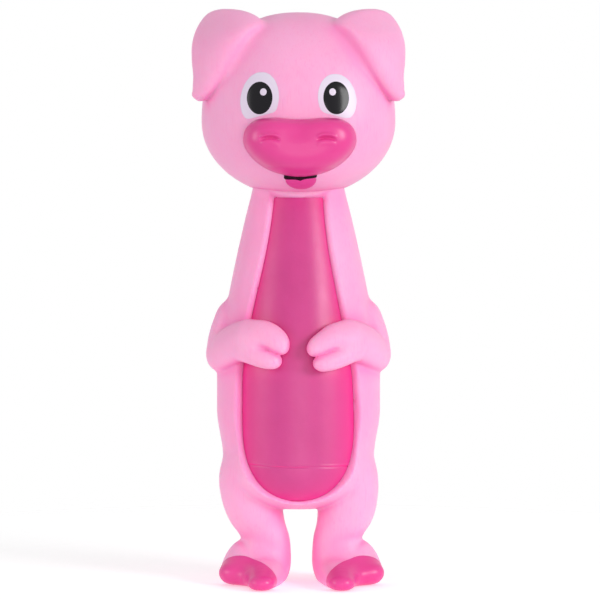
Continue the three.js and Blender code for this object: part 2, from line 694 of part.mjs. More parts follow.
// Toe: a low oval section that leaves the ankle, narrows and slopes down to a round tip on the floor.
// A web between the two toes rounds off the front of the foot.
function toe(outset, ahead, lift) {
  const start = new THREE.Vector3(ankle.x + outset * 0.3, -5, 0);
  const tip = new THREE.Vector3(ankle.x + outset, -ahead, 0);
  const stations = spread(0, 1, 4).map((share) => {
    const top = TOE_TIP_HEIGHT + lift + (FOOT_HEIGHT - TOE_TIP_HEIGHT - lift) * (1 - share) ** 1.6 * 0.8;
    const middle = 6 - 2 * share + lift * share;
    const at = start.clone().lerp(tip, share).setZ(middle);
    const out = new THREE.Vector3(0, 0, 1);
    return { at, out, thick: top - middle, high: TOE_HALF_WIDTH * (1 - 0.3 * share) };
  });
  return limb(stations, 16, 10);
}

function footForm() {
  const centre = new THREE.Vector3(ankle.x + FOOT_OUTSET, -FOOT_AHEAD, 6);
  const dome = ellipsoid(centre, FOOT_HALF_WIDTH, FOOT_HALF_LENGTH, FOOT_HEIGHT - 6, 0, 22, 12);
  const inner = toe(INNER_TOE_OUTSET, INNER_TOE_AHEAD, 0);
  const outer = toe(OUTER_TOE_OUTSET, OUTER_TOE_AHEAD, OUTER_TOE_LIFT);
  const between = new THREE.Vector3(ankle.x + (INNER_TOE_OUTSET + OUTER_TOE_OUTSET) * 0.36, 0, 4.6);
  between.setY(-(INNER_TOE_AHEAD + OUTER_TOE_AHEAD) * 0.3);
  const turn = THREE.MathUtils.degToRad(HOOF_TURN);
  const webWidth = TOE_HALF_WIDTH * 1.25;
  const web = ellipsoid(between, webWidth, webWidth * 0.92, TOE_TIP_HEIGHT, turn, 22, 12);
  const whole = dome.add(inner).add(outer).add(web);
  return whole.subtract(block(300, 300, 100, 0, 0, -50));
}

function thighForm() {
  const hipX = sleeveHalfWidthAt(mouldLineZ) + THIGH_SWELL;
  const ankleX = ankle.x + ANKLE_HALF_WIDTH;
  const ankleHalf = ANKLE_HALF_WIDTH;
  const rows = [
    { z: mouldLineZ + 10, outer: hipX - 3, half: 4, y: -4, deep: 6 },
    { z: mouldLineZ + 8, outer: hipX - 1.6, half: 8, y: -4, deep: 12 },
    { z: mouldLineZ + 3, outer: hipX - 0.5, half: 12, y: -4, deep: 17 },
    { z: mouldLineZ - 8, outer: hipX, half: 15.3, y: -4, deep: 19.5 },
    { z: LEG_HEIGHT + 7, outer: hipX - 0.6, half: 16.4, y: -4, deep: 19 },
    { z: LEG_HEIGHT - 2, outer: hipX - 3.4, half: 15.8, y: -4, deep: 17.5 },
    { z: ANKLE_RISE + 6, outer: ankleX + 3.2, half: ankleHalf + 1.5, y: -4, deep: 16 },
    { z: ANKLE_RISE, outer: ankleX, half: ankleHalf, y: -3.5, deep: 15 },
    { z: 9, outer: ankleX - 1, half: ankleHalf - 1.3, y: -4, deep: 13.5 },
    { z: 3.5, outer: ankleX - 2, half: ankleHalf - 3, y: -4, deep: 11.5 },
    { z: 0, outer: ankleX - 3.2, half: ankleHalf - 5, y: -4, deep: 9 },
  ];
  const rings = rows.map((r) => {
    const power = r.z > LEG_HEIGHT ? 2.8 : 2.2;
    return levelRing(r.outer - r.half, r.y, r.z, r.half, r.deep, power, 22);
  });
  return loft(rings);
}

// Everything ahead of the colour line across the foot, below the ankle.
function hoofSpace(back) {
  const geometry = new THREE.BoxGeometry(200, 200, ANKLE_RISE * 2);
  geometry.translate(0, -100 - HOOF_AHEAD + back, 0);
  geometry.rotateZ(THREE.MathUtils.degToRad(HOOF_TURN));
  return solidOf(geometry);
}

function makeHoof() {
  return footForm().intersect(hoofSpace(0));
}

function makeLeg() {
  return thighForm().add(footForm()).subtract(hoofSpace(SEAT_GAP)).subtract(sleeveGrown);
}

// Tail: a small curl lying on the back.
function makeTail() {
  const turns = spread(0, 1, 14).map((u) => {
    const angle = -Math.PI / 2 + u * Math.PI * 1.55;
    const radius = TAIL_CURL_RADIUS * (1 - 0.25 * u);
    const x = radius * Math.cos(angle);
    const z = TAIL_RISE + radius * Math.sin(angle);
    const back = sleeveHalfDepthAt(z) * Math.sqrt(1 - (x / sleeveHalfWidthAt(z)) ** 2);
    return new THREE.Vector3(x, back + TAIL_THICKNESS * (0.25 + 0.25 * u), z);
  });
  const first = turns[0].clone().add(new THREE.Vector3(-7, -2, -2.5));
  const path = new THREE.CatmullRomCurve3([first, ...turns]);
  const section = new THREE.Shape();
  section.absarc(0, 0, TAIL_THICKNESS / 2, 0, 2 * Math.PI, false);
  const geometry = new THREE.ExtrudeGeometry(section, { steps: 16, extrudePath: path, curveSegments: 4 });
  return solidOf(geometry).subtract(sleeveGrown);
}

// Squeaker: a flanged cup in the head, a slotted block in its inner end and a reed over the slot.

const reedBlockY = seatY + FLANGE_THICKNESS - SQUEAKER_LENGTH;
const reedY = reedBlockY + REED_BLOCK_LENGTH + SEAT_GAP;

function makeSqueakerCup() {
  const outY = seatY + FLANGE_THICKNESS;
  const bore = SQUEAKER_RADIUS - SQUEAKER_WALL;
  const profile = [
    [VENT_RADIUS, outY],
    [flangeRadius, outY],
    [flangeRadius, seatY],
    [SQUEAKER_RADIUS, seatY],
    [SQUEAKER_RADIUS, reedBlockY],
    [bore, reedBlockY],
    [bore, outY - SQUEAKER_WALL],
    [VENT_RADIUS, outY - SQUEAKER_WALL],
    [VENT_RADIUS, outY],
  ];
  const geometry = new THREE.LatheGeometry(profile.map(([r, y]) => new THREE.Vector2(r, y)), 24);
  geometry.translate(0, 0, squeakerZ);
  return solidOf(geometry);
}

function makeReedBlock() {
  const radius = SQUEAKER_RADIUS - SQUEAKER_WALL - SEAT_GAP;
  const disc = roundBar(radius, reedBlockY, reedBlockY + REED_BLOCK_LENGTH, 0, squeakerZ, 24);
  const middle = reedBlockY + REED_BLOCK_LENGTH / 2;
  const slotDepth = REED_BLOCK_LENGTH * 2;
  const slot = block(REED_WIDTH * 0.7, slotDepth, REED_LENGTH * 0.6, 0, middle, squeakerZ + 0.6);
  return disc.subtract(slot);
}

function makeReed() {
  return block(REED_WIDTH, REED_THICKNESS, REED_LENGTH, 0, reedY + REED_THICKNESS / 2, squeakerZ);
}

function mirrored(solid) {
  return solid.mirror([1, 0, 0]);
}

// Assembly: the body first, then what it carries.

addPiece("body_sleeve", makeSleeve(), skinMaterial);
addPiece("head_shell", makeHead(), skinMaterial);
addPiece("bottle", makeBottle(), bottleMaterial);

const pairs = [
  ["ear", makeEar(), skinMaterial],
  ["arm", makeArm(), skinMaterial],
  ["leg", makeLeg(), skinMaterial],
  ["hoof", makeHoof(), magentaMaterial],
];
for (const [name, solid, material] of pairs) {
  addPiece(`left_${name}`, solid, material);
  addPiece(`right_${name}`, mirrored(solid), material);
}

addPiece("snout", makeSnout(), magentaMaterial);
const snoutRoom = snoutForm(SEAT_GAP);
for (const [name, side] of [["left", 1], ["right", -1]]) {
  const x = (side * EYE_SPACING) / 2;
  const white = facePatch(eyeOutline(side), 0, 20, 3).subtract(snoutRoom);
  const pupilOutline = ovalOutline(x - side * 0.4, eyeZ - 0.6, PUPIL_HALF_WIDTH, PUPIL_HALF_HEIGHT);
  const glintOutline = ovalOutline(x - side * 2.2, eyeZ + 2.6, GLINT_RADIUS, GLINT_RADIUS);
  const pupil = facePatch(pupilOutline, 1, 18, 2);
  const glint = facePatch(glintOutline, 2, 10, 1);
  addPiece(`${name}_eye_white`, white, eyeWhiteMaterial);
  addPiece(`${name}_pupil`, pupil, blackMaterial);
  addPiece(`${name}_eye_glint`, glint, eyeWhiteMaterial);
}
addPiece("mouth_line", facePatch(mouthOutline, 0, 22, 1).subtract(snoutRoom), blackMaterial);
addPiece("tongue", facePatch(tongueOutline, 0, 18, 2).subtract(snoutRoom), magentaMaterial);
addPiece("tail", makeTail(), skinMaterial);
addPiece("squeaker_cup", makeSqueakerCup(), squeakerMaterial);
addPiece("reed_block", makeReedBlock(), squeakerMaterial);
addPiece("squeaker_reed", makeReed(), squeakerMaterial);

// The frame's origin is the middle of the footprint.
const box = new THREE.Box3().setFromObject(toy);
toy.position.y = -(box.min.y + box.max.y) / 2;

export default toy;
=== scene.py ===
import math

import bmesh
import bpy
import numpy as np
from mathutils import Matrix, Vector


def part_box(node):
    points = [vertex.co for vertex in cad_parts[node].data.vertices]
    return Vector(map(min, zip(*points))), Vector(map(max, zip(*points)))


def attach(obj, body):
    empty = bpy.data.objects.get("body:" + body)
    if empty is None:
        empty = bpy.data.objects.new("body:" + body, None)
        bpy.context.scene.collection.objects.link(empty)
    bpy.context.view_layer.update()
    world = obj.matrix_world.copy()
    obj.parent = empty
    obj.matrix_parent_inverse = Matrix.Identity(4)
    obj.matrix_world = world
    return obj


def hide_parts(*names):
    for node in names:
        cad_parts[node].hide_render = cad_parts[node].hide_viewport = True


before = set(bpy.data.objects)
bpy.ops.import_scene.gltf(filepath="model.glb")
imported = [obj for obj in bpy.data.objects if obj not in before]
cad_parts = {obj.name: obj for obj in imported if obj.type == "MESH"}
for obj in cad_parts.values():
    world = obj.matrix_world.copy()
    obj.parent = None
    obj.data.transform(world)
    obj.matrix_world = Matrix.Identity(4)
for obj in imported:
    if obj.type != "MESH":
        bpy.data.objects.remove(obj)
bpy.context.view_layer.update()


# Bottle
# A thin blow-moulded bottle of glossy tinted plastic that crackles when it is squeezed.
# It stands loose inside the vinyl sleeve and can be turned in it.

bottle_low, bottle_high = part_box("bottle")
AXIS_Y = (bottle_low.y + bottle_high.y) / 2
BOTTLE_RADIUS = (bottle_high.y - bottle_low.y) * 500
FOOT_RADIUS = 25.0
NECK_RADIUS = 13.3
BORE_RADIUS = 11.5
PUNT_RADIUS = 18.0
PUNT_RISE = 5.0
BOTTLE_WALL = 0.9
FOOT_Z = bottle_low.z * 1000
LINE_Z = FOOT_Z + 19.6
SEAM_Z = LINE_Z - 0.8
SEAM_BAND = 1.9
SEAM_HALF = 0.4
BEAD_ABOVE = 0.9
BODY_TOP_Z = LINE_Z + 46
SHOULDER_TOP_Z = BODY_TOP_Z + 114
SHOULDER_POWER = 1.3
NECK_TOP_Z = bottle_high.z * 1000
BOTTLE_COLOUR = (205, 63, 137)
BOTTLE_DEEP = (198, 58, 131)
BOTTLE_EDGE = (236, 50, 140)


def linear(colour):
    """Scene-linear red, green, blue and alpha of a colour given in display values from 0 to 255."""
    share = np.asarray(colour, float) / 255
    value = np.where(share < 0.04045, share / 12.92, ((share + 0.055) / 1.055) ** 2.4)
    return (*value, 1.0)


def set_down(name, points, faces):
    """Mesh object from points in millimetres round the bottle's axis, shaded smooth, facing out."""
    mesh = bpy.data.meshes.new(name)
    placed = points * 0.001 + np.array([0, AXIS_Y, 0])
    mesh.from_pydata(placed, [], faces)
    mesh.validate()
    mesh.update()
    shell = bmesh.new()
    shell.from_mesh(mesh)
    bmesh.ops.dissolve_degenerate(shell, dist=2e-5, edges=shell.edges)
    bmesh.ops.recalc_face_normals(shell, faces=shell.faces)
    if shell.calc_volume(signed=True) < 0:
        bmesh.ops.reverse_faces(shell, faces=shell.faces)
    shell.to_mesh(mesh)
    shell.free()
    mesh.shade_smooth()
    piece = bpy.data.objects.new(name, mesh)
    bpy.context.scene.collection.objects.link(piece)
    return piece


def grid_piece(name, points):
    """Closed surface over a grid of points: each row runs round and joins up with its start,
    and the first and last rows are drawn together to one point each."""
    rows, around, _ = points.shape
    bands = np.arange((rows - 3) * around).reshape(rows - 3, around)
    beside = np.roll(bands, -1, axis=1)
    quads = np.stack([bands, beside, beside + around, bands + around], -1).reshape(-1, 4)
    first = (rows - 2) * around
    start = np.arange(around)
    end = start + (rows - 3) * around
    head = np.stack([np.roll(start, -1), start, np.full(around, first)], -1)
    tail = np.stack([end, np.roll(end, -1), np.full(around, first + 1)], -1)
    inner = points[1:-1].reshape(-1, 3)
    corners = np.vstack([inner, points[0].mean(0), points[-1].mean(0)])
    return set_down(name, corners, quads.tolist() + head.tolist() + tail.tolist())


def turned(profile, count):
    """Grid of a profile (radius, height) carried round the vertical axis."""
    angle = np.linspace(0, 2 * np.pi, count, endpoint=False)
    radius = profile[:, 0, None]
    height = np.broadcast_to(profile[:, 1, None], (len(profile), count))
    return np.stack([radius * np.cos(angle), radius * np.sin(angle), height], -1)


def bottle_radius(z):
    """Radius at a height: a quarter ellipse up the base, straight up the body,
    then falling with a power of the share of the shoulder passed."""
    up = np.clip((LINE_Z - z) / (LINE_Z - FOOT_Z), 0, 1)
    base = FOOT_RADIUS + (BOTTLE_RADIUS - FOOT_RADIUS) * np.sqrt(1 - up**2)
    share = np.clip((z - BODY_TOP_Z) / (SHOULDER_TOP_Z - BODY_TOP_Z), 0, 1)
    return base - (BOTTLE_RADIUS - NECK_RADIUS) * share**SHOULDER_POWER


def bottle_profile():
    """Outline from the middle of the pushed-up foot, up the outside, over the neck with its ring,
    and back down inside one wall's thickness away. Its rows lie close together round the seam."""
    base = LINE_Z - (LINE_Z - FOOT_Z) * np.cos(np.linspace(0.1, 1, 16) * np.pi / 2)
    seam = np.linspace(SEAM_Z - SEAM_BAND, SEAM_Z + SEAM_BAND, 20)
    body = np.linspace(SEAM_Z + SEAM_BAND, BODY_TOP_Z, 24)[1:]
    shoulder = np.linspace(BODY_TOP_Z, SHOULDER_TOP_Z, 40)[1:]
    side = np.concatenate([base[base < SEAM_Z - SEAM_BAND - 0.3], seam, body, shoulder])
    outside = np.stack([bottle_radius(side), side], -1)
    inside = np.stack([bottle_radius(side) - BOTTLE_WALL, np.maximum(side, FOOT_Z + 1)], -1)[::-3]
    foot = np.linspace(0, PUNT_RADIUS, 6)
    punt = np.stack([foot, FOOT_Z + PUNT_RISE * np.cos(foot / PUNT_RADIUS * np.pi / 2) ** 1.5], -1)
    ring = SHOULDER_TOP_Z + np.array([3.4, 3.9, 4.4, 5.0, 5.4])
    collar = np.stack([NECK_RADIUS + np.array([0, 2.3, 2.6, 2.3, 0]), ring], -1)
    lip = np.array([
        [NECK_RADIUS, NECK_TOP_Z - 0.5], [NECK_RADIUS - 0.4, NECK_TOP_Z],
        [BORE_RADIUS + 0.4, NECK_TOP_Z], [BORE_RADIUS, NECK_TOP_Z - 0.5],
    ])
    bore = np.array([[BORE_RADIUS, SHOULDER_TOP_Z + 1]])
    floor = punt[::-1] + np.array([0, BOTTLE_WALL])
    return np.vstack([punt, outside, collar, lip, bore, inside, floor])


def with_mould_line(points):
    """Presses the mould line into the outside: a groove with a faint bead over it, wavering by half a millimetre
    and fading in and out with waves of several lengths round the bottle."""
    angle = np.arctan2(points[..., 1], points[..., 0])
    waver = 0.3 * np.sin(2 * angle + 0.4) + 0.22 * np.sin(5 * angle + 1.2) + 0.1 * np.sin(13 * angle)
    depth = 0.24 + 0.1 * np.sin(7 * angle + 0.9) + 0.07 * np.sin(17 * angle + 2)
    above = points[..., 2] - SEAM_Z - waver
    bead = 0.5 * np.exp(-(((above - BEAD_ABOVE) / SEAM_HALF) ** 2))
    groove = depth * (np.exp(-((above / SEAM_HALF) ** 2)) - bead)
    reach = np.hypot(points[..., 0], points[..., 1])
    groove = np.where(reach > BOTTLE_RADIUS - 0.3, groove, 0)
    level = np.array([1, 1, 0])
    return points * (1 - level * (groove / np.maximum(reach, 1))[..., None])


def value_node(tree, kind, links, **settings):
    """Adds a node, sets the named properties, and joins each socket to a node output or a plain value."""
    node = tree.nodes.new(kind)
    for key, value in settings.items():
        setattr(node, key, value)
    for key, value in links.items():
        if isinstance(value, bpy.types.NodeSocket):
            tree.links.new(value, node.inputs[key])
        else:
            node.inputs[key].default_value = value
    return node


def blend(tree, factor, first, second):
    """Colour between two colours; a colour mix has them on its sockets 6 and 7, and its result on 2."""
    return value_node(tree, "ShaderNodeMix", {"Factor": factor, 6: first, 7: second}, data_type="RGBA").outputs[2]


def stretch(tree, value, low, high, start=0.0, end=1.0):
    """Value carried evenly from the range low to high onto start to end, and held at both ends."""
    return value_node(tree, "ShaderNodeMapRange", {0: value, 1: low, 2: high, 3: start, 4: end}).outputs[0]


def new_group(name, outputs):
    """Empty node group with the named outputs, as pairs of a name and a socket type."""
    group = bpy.data.node_groups.new(name, "ShaderNodeTree")
    for output, kind in outputs:
        group.interface.new_socket(output, in_out="OUTPUT", socket_type=kind)
    return group


def moulded_finish():
    """Group for all moulded plastic: a fine uneven height, and a slow mask for faint changes of tone."""
    group = new_group("moulded_finish", [("Height", "NodeSocketFloat"), ("Mottle", "NodeSocketFloat")])
    place = group.nodes.new("ShaderNodeTexCoord").outputs["Object"]
    fine = value_node(group, "ShaderNodeTexNoise", {"Vector": place, "Scale": 900.0, "Detail": 2.0})
    slow = value_node(group, "ShaderNodeTexNoise", {"Vector": place, "Scale": 110.0, "Detail": 3.0})
    tone = value_node(group, "ShaderNodeTexNoise", {"Vector": place, "Scale": 42.0, "Detail": 4.0})
    both = {0: fine.outputs[0], 1: 0.25, 2: slow.outputs[0]}
    height = value_node(group, "ShaderNodeMath", both, operation="MULTIPLY_ADD")
    out = group.nodes.new("NodeGroupOutput")
    group.links.new(height.outputs[0], out.inputs["Height"])
    group.links.new(stretch(group, tone.outputs[0], 0.35, 0.65), out.inputs["Mottle"])
    return group


MOULDED = moulded_finish()


def plastic(name, colour, deeper, roughness, bump, shine=0.5, soft=0.0, shade_and_stroke=None):
    """Moulded plastic: two near tones mixed by the slow mask, an uneven skin, a set gloss, and for soft vinyl
    some light that spreads under the surface, red the furthest, painted shade in a deeper colour where the fold
    mask is high, and faint upright strokes left by the hand-cut mould, drawn in that same deeper colour."""
    material = bpy.data.materials.new(name)
    material.use_nodes = True
    tree = material.node_tree
    shader = tree.nodes["Principled BSDF"]
    finish = value_node(tree, "ShaderNodeGroup", {}, node_tree=MOULDED).outputs
    tone = blend(tree, finish["Mottle"], linear(colour), linear(deeper))
    height = finish["Height"]
    # Painted shade: the fold mask carries the skin towards the deeper colour in creases, between the legs and round
    # the window.
    if shade_and_stroke:
        fold = value_node(tree, "ShaderNodeAttribute", {}, attribute_name="fold").outputs["Fac"]
        place = tree.nodes.new("ShaderNodeTexCoord").outputs["Object"]
        drawn = {"Vector": place, "Rotation": (0.0, 0.25, 0.0), "Scale": (1.0, 1.0, 0.1)}
        upright = value_node(tree, "ShaderNodeMapping", drawn).outputs[0]
        scratch = {"Vector": upright, "Scale": 1100.0, "Distortion": 0.8}
        stroke = stretch(tree, value_node(tree, "ShaderNodeTexNoise", scratch).outputs[0], 0.5, 0.75, 0.0, 0.3)
        tone = blend(tree, stroke, blend(tree, fold, tone, linear(shade_and_stroke)), linear(shade_and_stroke))
        pressed = {0: stroke, 1: -1.5, 2: height}
        height = value_node(tree, "ShaderNodeMath", pressed, operation="MULTIPLY_ADD").outputs[0]
    skin = value_node(tree, "ShaderNodeBump", {"Height": height, "Strength": bump, "Distance": 0.0004})
    tree.links.new(tone, shader.inputs["Base Color"])
    gloss = stretch(tree, finish["Mottle"], 0.0, 1.0, roughness, roughness + 0.07)
    tree.links.new(gloss, shader.inputs["Roughness"])
    tree.links.new(skin.outputs[0], shader.inputs["Normal"])
    shader.inputs["Specular IOR Level"].default_value = shine
    shader.inputs["Subsurface Weight"].default_value = soft
    shader.inputs["Subsurface Radius"].default_value = (1.0, 0.3, 0.5)
    shader.inputs["Subsurface Scale"].default_value = 0.004
    return material


def tinted_plastic():
    """Clear-tinted bottle plastic: it looks fuller in colour where the wall is seen on the slant."""
    material = plastic("bottle_plastic", BOTTLE_COLOUR, BOTTLE_DEEP, 0.34, 0.32, 0.45, 0.25)
    tree = material.node_tree
    shader = tree.nodes["Principled BSDF"]
    facing = value_node(tree, "ShaderNodeLayerWeight", {"Blend": 0.5}).outputs["Facing"]
    slant = stretch(tree, facing, 0.05, 0.4)
    plain = shader.inputs["Base Color"].links[0].from_socket
    tree.links.new(blend(tree, slant, plain, linear(BOTTLE_EDGE)), shader.inputs["Base Color"])
    return material


bottle = grid_piece("bottle_wall", with_mould_line(turned(bottle_profile(), 180)))
bottle.data.materials.append(tinted_plastic())
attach(bottle, "crackle_bottle")
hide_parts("bottle")


# Body skin
# The sleeve, arms and legs are one soft vinyl moulding, cast hollow and slipped over the bottle.
# The front is cut open to show the bottle, and the neck ends in a bead that snaps into the head.

CLEARANCE = 0.06
BELLY_Z = 38.5
BELLY_POWER = 2.6
STANCE = 1.6
SLEEVE_STEP = 4.2
FLANK_SWELL = 3.3
FLANK_RISE = 28.0
COLLAR_TOP_Z = 217.5
WINDOW_ROUND_Z = 90.0
WINDOW_SINK = 45.3
WINDOW_TOP_Z = 203.6
RIM_EDGE = 0.3
RIM_BEVEL = 1.35
ARM_WRAP = 44.0
BODY_STEP = 1.06
SKIN_COLOUR = (249, 172, 212)
SKIN_DEEP = (248, 166, 208)
# Deeper pink painted into folds as shade, and also the colour of the faint mould strokes.
SKIN_SHADE_AND_STROKE = (249, 138, 196)


def curve(at, knots, values):
    """Smooth curve through the values at the knots, each span a cubic that keeps the slope of its neighbours."""
    knots = np.asarray(knots, float)
    values = np.asarray(values, float)
    slope = np.gradient(values, knots)
    at = np.clip(at, knots[0], knots[-1])
    span = np.clip(np.searchsorted(knots, at, side="right") - 1, 0, len(knots) - 2)
    width = knots[span + 1] - knots[span]
    t = (at - knots[span]) / width
    start = (1 + 2 * t) * (1 - t) ** 2 * values[span] + t * (1 - t) ** 2 * width * slope[span]
    end = t**2 * (3 - 2 * t) * values[span + 1] - t**2 * (1 - t) * width * slope[span + 1]
    return start + end


def ease(low, high, at):
    """Smooth step from 0 to 1 between two levels."""
    t = np.clip((at - low) / (high - low), 0, 1)
    return t * t * (3 - 2 * t)


def join(a, b, radius):
    """Union of two distance fields with a fillet of about the given radius."""
    share = np.clip(0.5 + 0.5 * (b - a) / radius, 0, 1)
    return b * (1 - share) + a * share - radius * share * (1 - share)


def cut(a, b, radius):
    """First field less the second, with the edge rounded by about the given radius."""
    return -join(-a, b, radius)


def oval(x, y, power):
    """Superellipse measure: 1 on the outline, less inside."""
    return (np.abs(x) ** power + np.abs(y) ** power) ** (1 / power)


def blob(x, y, z, half):
    """Near distance to an ellipsoid of the given half sizes round the origin."""
    near = np.sqrt((x / half[0]) ** 2 + (y / half[1]) ** 2 + (z / half[2]) ** 2)
    steep = np.sqrt((x / half[0] ** 2) ** 2 + (y / half[1] ** 2) ** 2 + (z / half[2] ** 2) ** 2)
    return near * (near - 1) / np.maximum(steep, 1e-6)


def sleeve_halves(z):
    """Half width and half depth of the sleeve: one wall outside the bottle, swelling at the flanks."""
    depth = bottle_radius(np.maximum(z, LINE_Z)) + SLEEVE_STEP
    return depth + FLANK_SWELL * ease(LINE_Z, LINE_Z + FLANK_RISE, z), depth


def torso(x, y, z):
    """Oval rings up the body, closed below by a belly that follows a superellipse."""
    width, depth = sleeve_halves(z)
    sink = np.maximum(LINE_Z - z, 0) / (LINE_Z - BELLY_Z)
    reach = oval(np.hypot(x / width, y / depth), sink, BELLY_POWER)
    return np.maximum((reach - 1) * depth * 0.9, z - COLLAR_TOP_Z)


def bottle_room(x, y, z):
    """Hollow for the bottle, one clearance wider than it all round."""
    side = np.hypot(x, y) - bottle_radius(z) - CLEARANCE
    return -join(-side, z - FOOT_Z + CLEARANCE, 2.0)


def window(x, y, z):
    """Opening in the front: a round end below, of power 2 across and 3 down, narrowing above the belly
    to a short straight top. At the arms it lies a millimetre towards the right hand."""
    levels = [WINDOW_ROUND_Z, 112, 143, 156, 168, 181, 193, 206]
    wide = curve(np.maximum(z, WINDOW_ROUND_Z), levels, [29.2, 28.4, 22.9, 20.2, 17.7, 15.4, 13.8, 12.6])
    sink = np.maximum(WINDOW_ROUND_Z - z, 0) / WINDOW_SINK
    lean = curve(np.clip(z, 60, 203), [60, 98, 112, 141, 170, 203], [0, 0.4, 0.7, 1.1, 0.65, 0])
    side = (np.sqrt(((x + lean) / wide) ** 2 + sink**3) - 1) * wide * 0.8
    top = WINDOW_TOP_Z - 0.4 * np.cos(x / 8) - z
    return np.maximum(-join(-side, top, 0.8), y + 4)


def rimmed_torso(x, y, z, opening):
    """Torso whose wall thins gently within 12 mm of the window and ends in a bevel that comes down to the bottle.
    The bevel counts from the bottle's side, and below its foot line from the wall's thickness at each height."""
    skin = torso(x, y, z)
    ends = ease(58, 80, z) * (1 - ease(203, 212, z))
    gentle = (2.0 + 0.5 * ease(90, 120, z)) * (1 - ease(0, 12, opening)) * ends
    low = skin + np.interp(z, [44, 50, 57, 64], [2.0, 3.0, 3.85, 4.0])
    share = ease(54, 66, z)
    above = low * (1 - share) + (np.hypot(x, y) - bottle_radius(z)) * share
    return -join(-skin - gentle, RIM_EDGE + RIM_BEVEL * np.maximum(opening, 0) - above, 0.7)


def limb(along, across, rise, stations):
    """Rounded limb laid on a surface. Stations hold two places on the surface, the half width, the half
    thickness and the lift of the middle; they are first joined by smooth curves, and each short run between
    is an even taper. Points further than the margin from the limb are only told that they are far off."""
    margin, far_off = 22.0, 20.0
    step = np.arange(len(stations))
    fine = np.linspace(0, step[-1], 4 * step[-1] + 1)
    smooth = np.stack([curve(fine, step, column) for column in np.array(stations).T], -1)
    low, high = smooth.min(0) - margin, smooth.max(0) + margin
    near = (along > low[0]) & (along < high[0]) & (across > low[1]) & (across < high[1])
    near &= (rise > low[4]) & (rise < high[4])
    best = np.full(np.shape(rise), far_off)
    along, across, rise = along[near], across[near], rise[near]
    lowest = best[near]
    for a, b in zip(smooth[:-1], smooth[1:]):
        run = b[:2] - a[:2]
        share = np.clip(((along - a[0]) * run[0] + (across - a[1]) * run[1]) / (run @ run), 0, 1)
        away = np.hypot(along - a[0] - share * run[0], across - a[1] - share * run[1])
        wide, thick, lift = (a[i] + share * (b[i] - a[i]) for i in (2, 3, 4))
        reach = np.sqrt((away / wide) ** 2 + ((rise - lift) / thick) ** 2)
        lowest = np.minimum(lowest, (reach - 1) * np.minimum(wide, thick))
    best[near] = lowest
    return best


UPPER_ARM = [(66, 139, 10.5, 6.2, -1), (65, 131, 12, 7.6, -1), (62, 123, 11.2, 8, -1)]
FOREARM = [(61, 122.5, 9.6, 7.1, -1), (53.8, 123.2, 10.8, 7.2, -0.5), (42, 126.6, 10.8, 7, 0),
           (33, 128.8, 10, 6.8, 0.4), (27, 127.6, 8.2, 6.5, 0.4)]
RIGHT_FINGERS = (
    [(30, 131.2, 8, 6.7, 0.4), (21, 131.6, 7.4, 6.4, 0.4), (15, 130.2, 6.7, 6.1, 0.3),
     (11, 127.6, 5.9, 5.6, 0.2), (9.4, 125.6, 4.5, 5, 0)],
    [(30, 123.4, 6.2, 6.3, 0.4), (19, 119.6, 5.3, 5.8, 0.4), (14.2, 118.2, 4.5, 5.2, 0.2),
     (12.6, 118, 3.7, 4.8, 0)],
)
LEFT_FINGERS = (
    [(30, 131.2, 8, 6.7, 0.4), (21, 130.4, 7, 6.4, 0.4), (15, 128.2, 5.9, 6, 0.3),
     (10.6, 125.8, 5.2, 5.4, 0.2), (8.6, 124.4, 4.2, 4.9, 0)],
    [(30, 123.2, 6.2, 6.3, 0.4), (19, 118.8, 5.3, 5.8, 0.4), (13.4, 117, 4.5, 5.2, 0.2),
     (11.4, 116.8, 3.7, 4.8, 0)],
)


def fingers(along, z, rise, stations):
    """Two fingers of one hand, joined with a tight crease."""
    upper, lower = stations
    return join(limb(along, z, rise, upper), limb(along, z, rise, lower), 0.8)


def leg(x, y, z):
    """Level superellipse sections from the hip down to the sole."""
    levels = [-1, 3.5, 8, 13, 18, 24.5, 31, 37.4, 44, 52, 60, 68, 75, 84]
    outer = curve(z, levels, [28, 29.6, 30.4, 31, 31.4, 32.6, 37, 39.8, 41.4, 42.3, 41.6, 38.8, 35, 29])
    half = curve(z, levels, [7.5, 10.4, 11.9, 12.6, 12.8, 13, 14.3, 15.3, 16.2, 16.4, 15.6, 13.6, 11, 6])
    deep = curve(z, levels, [8, 11, 12.8, 13.8, 14.5, 15.2, 16.6, 18, 19, 19.5, 19.5, 18, 14, 8])
    reach = oval((np.abs(x) - outer + half) / half, (y + 4.5) / deep, 2.3)
    return np.maximum((reach - 1) * np.minimum(half, deep), z - 86)


INNER_TOE = [(20, 6, 12, 14, 6), (19.6, 14, 11.4, 10.8, 5.5), (20, 24, 10.2, 8.6, 4.8),
             (20.4, 34, 8.2, 6.4, 4.4), (20.6, 40.8, 6.9, 4.8, 4)]
OUTER_TOE = [(25, 5, 12, 14, 6), (29.5, 12, 11.4, 9.6, 6.2), (33.6, 16.5, 9.4, 7.6, 6.4),
             (35.2, 18.6, 8.2, 6.4, 6.4)]


def foot(x, y, z):
    """An ankle dome with two long low toes: the inner one points ahead, the shorter outer one is splayed."""
    side, ahead = np.abs(x), -y
    dome = blob(side - 26.6, ahead - 8, z - 6, (15.4, 14, 17.8))
    toes = join(limb(side, ahead, z, INNER_TOE), limb(side, ahead, z, OUTER_TOE), 8.0)
    return join(toes, dome, 4.0)


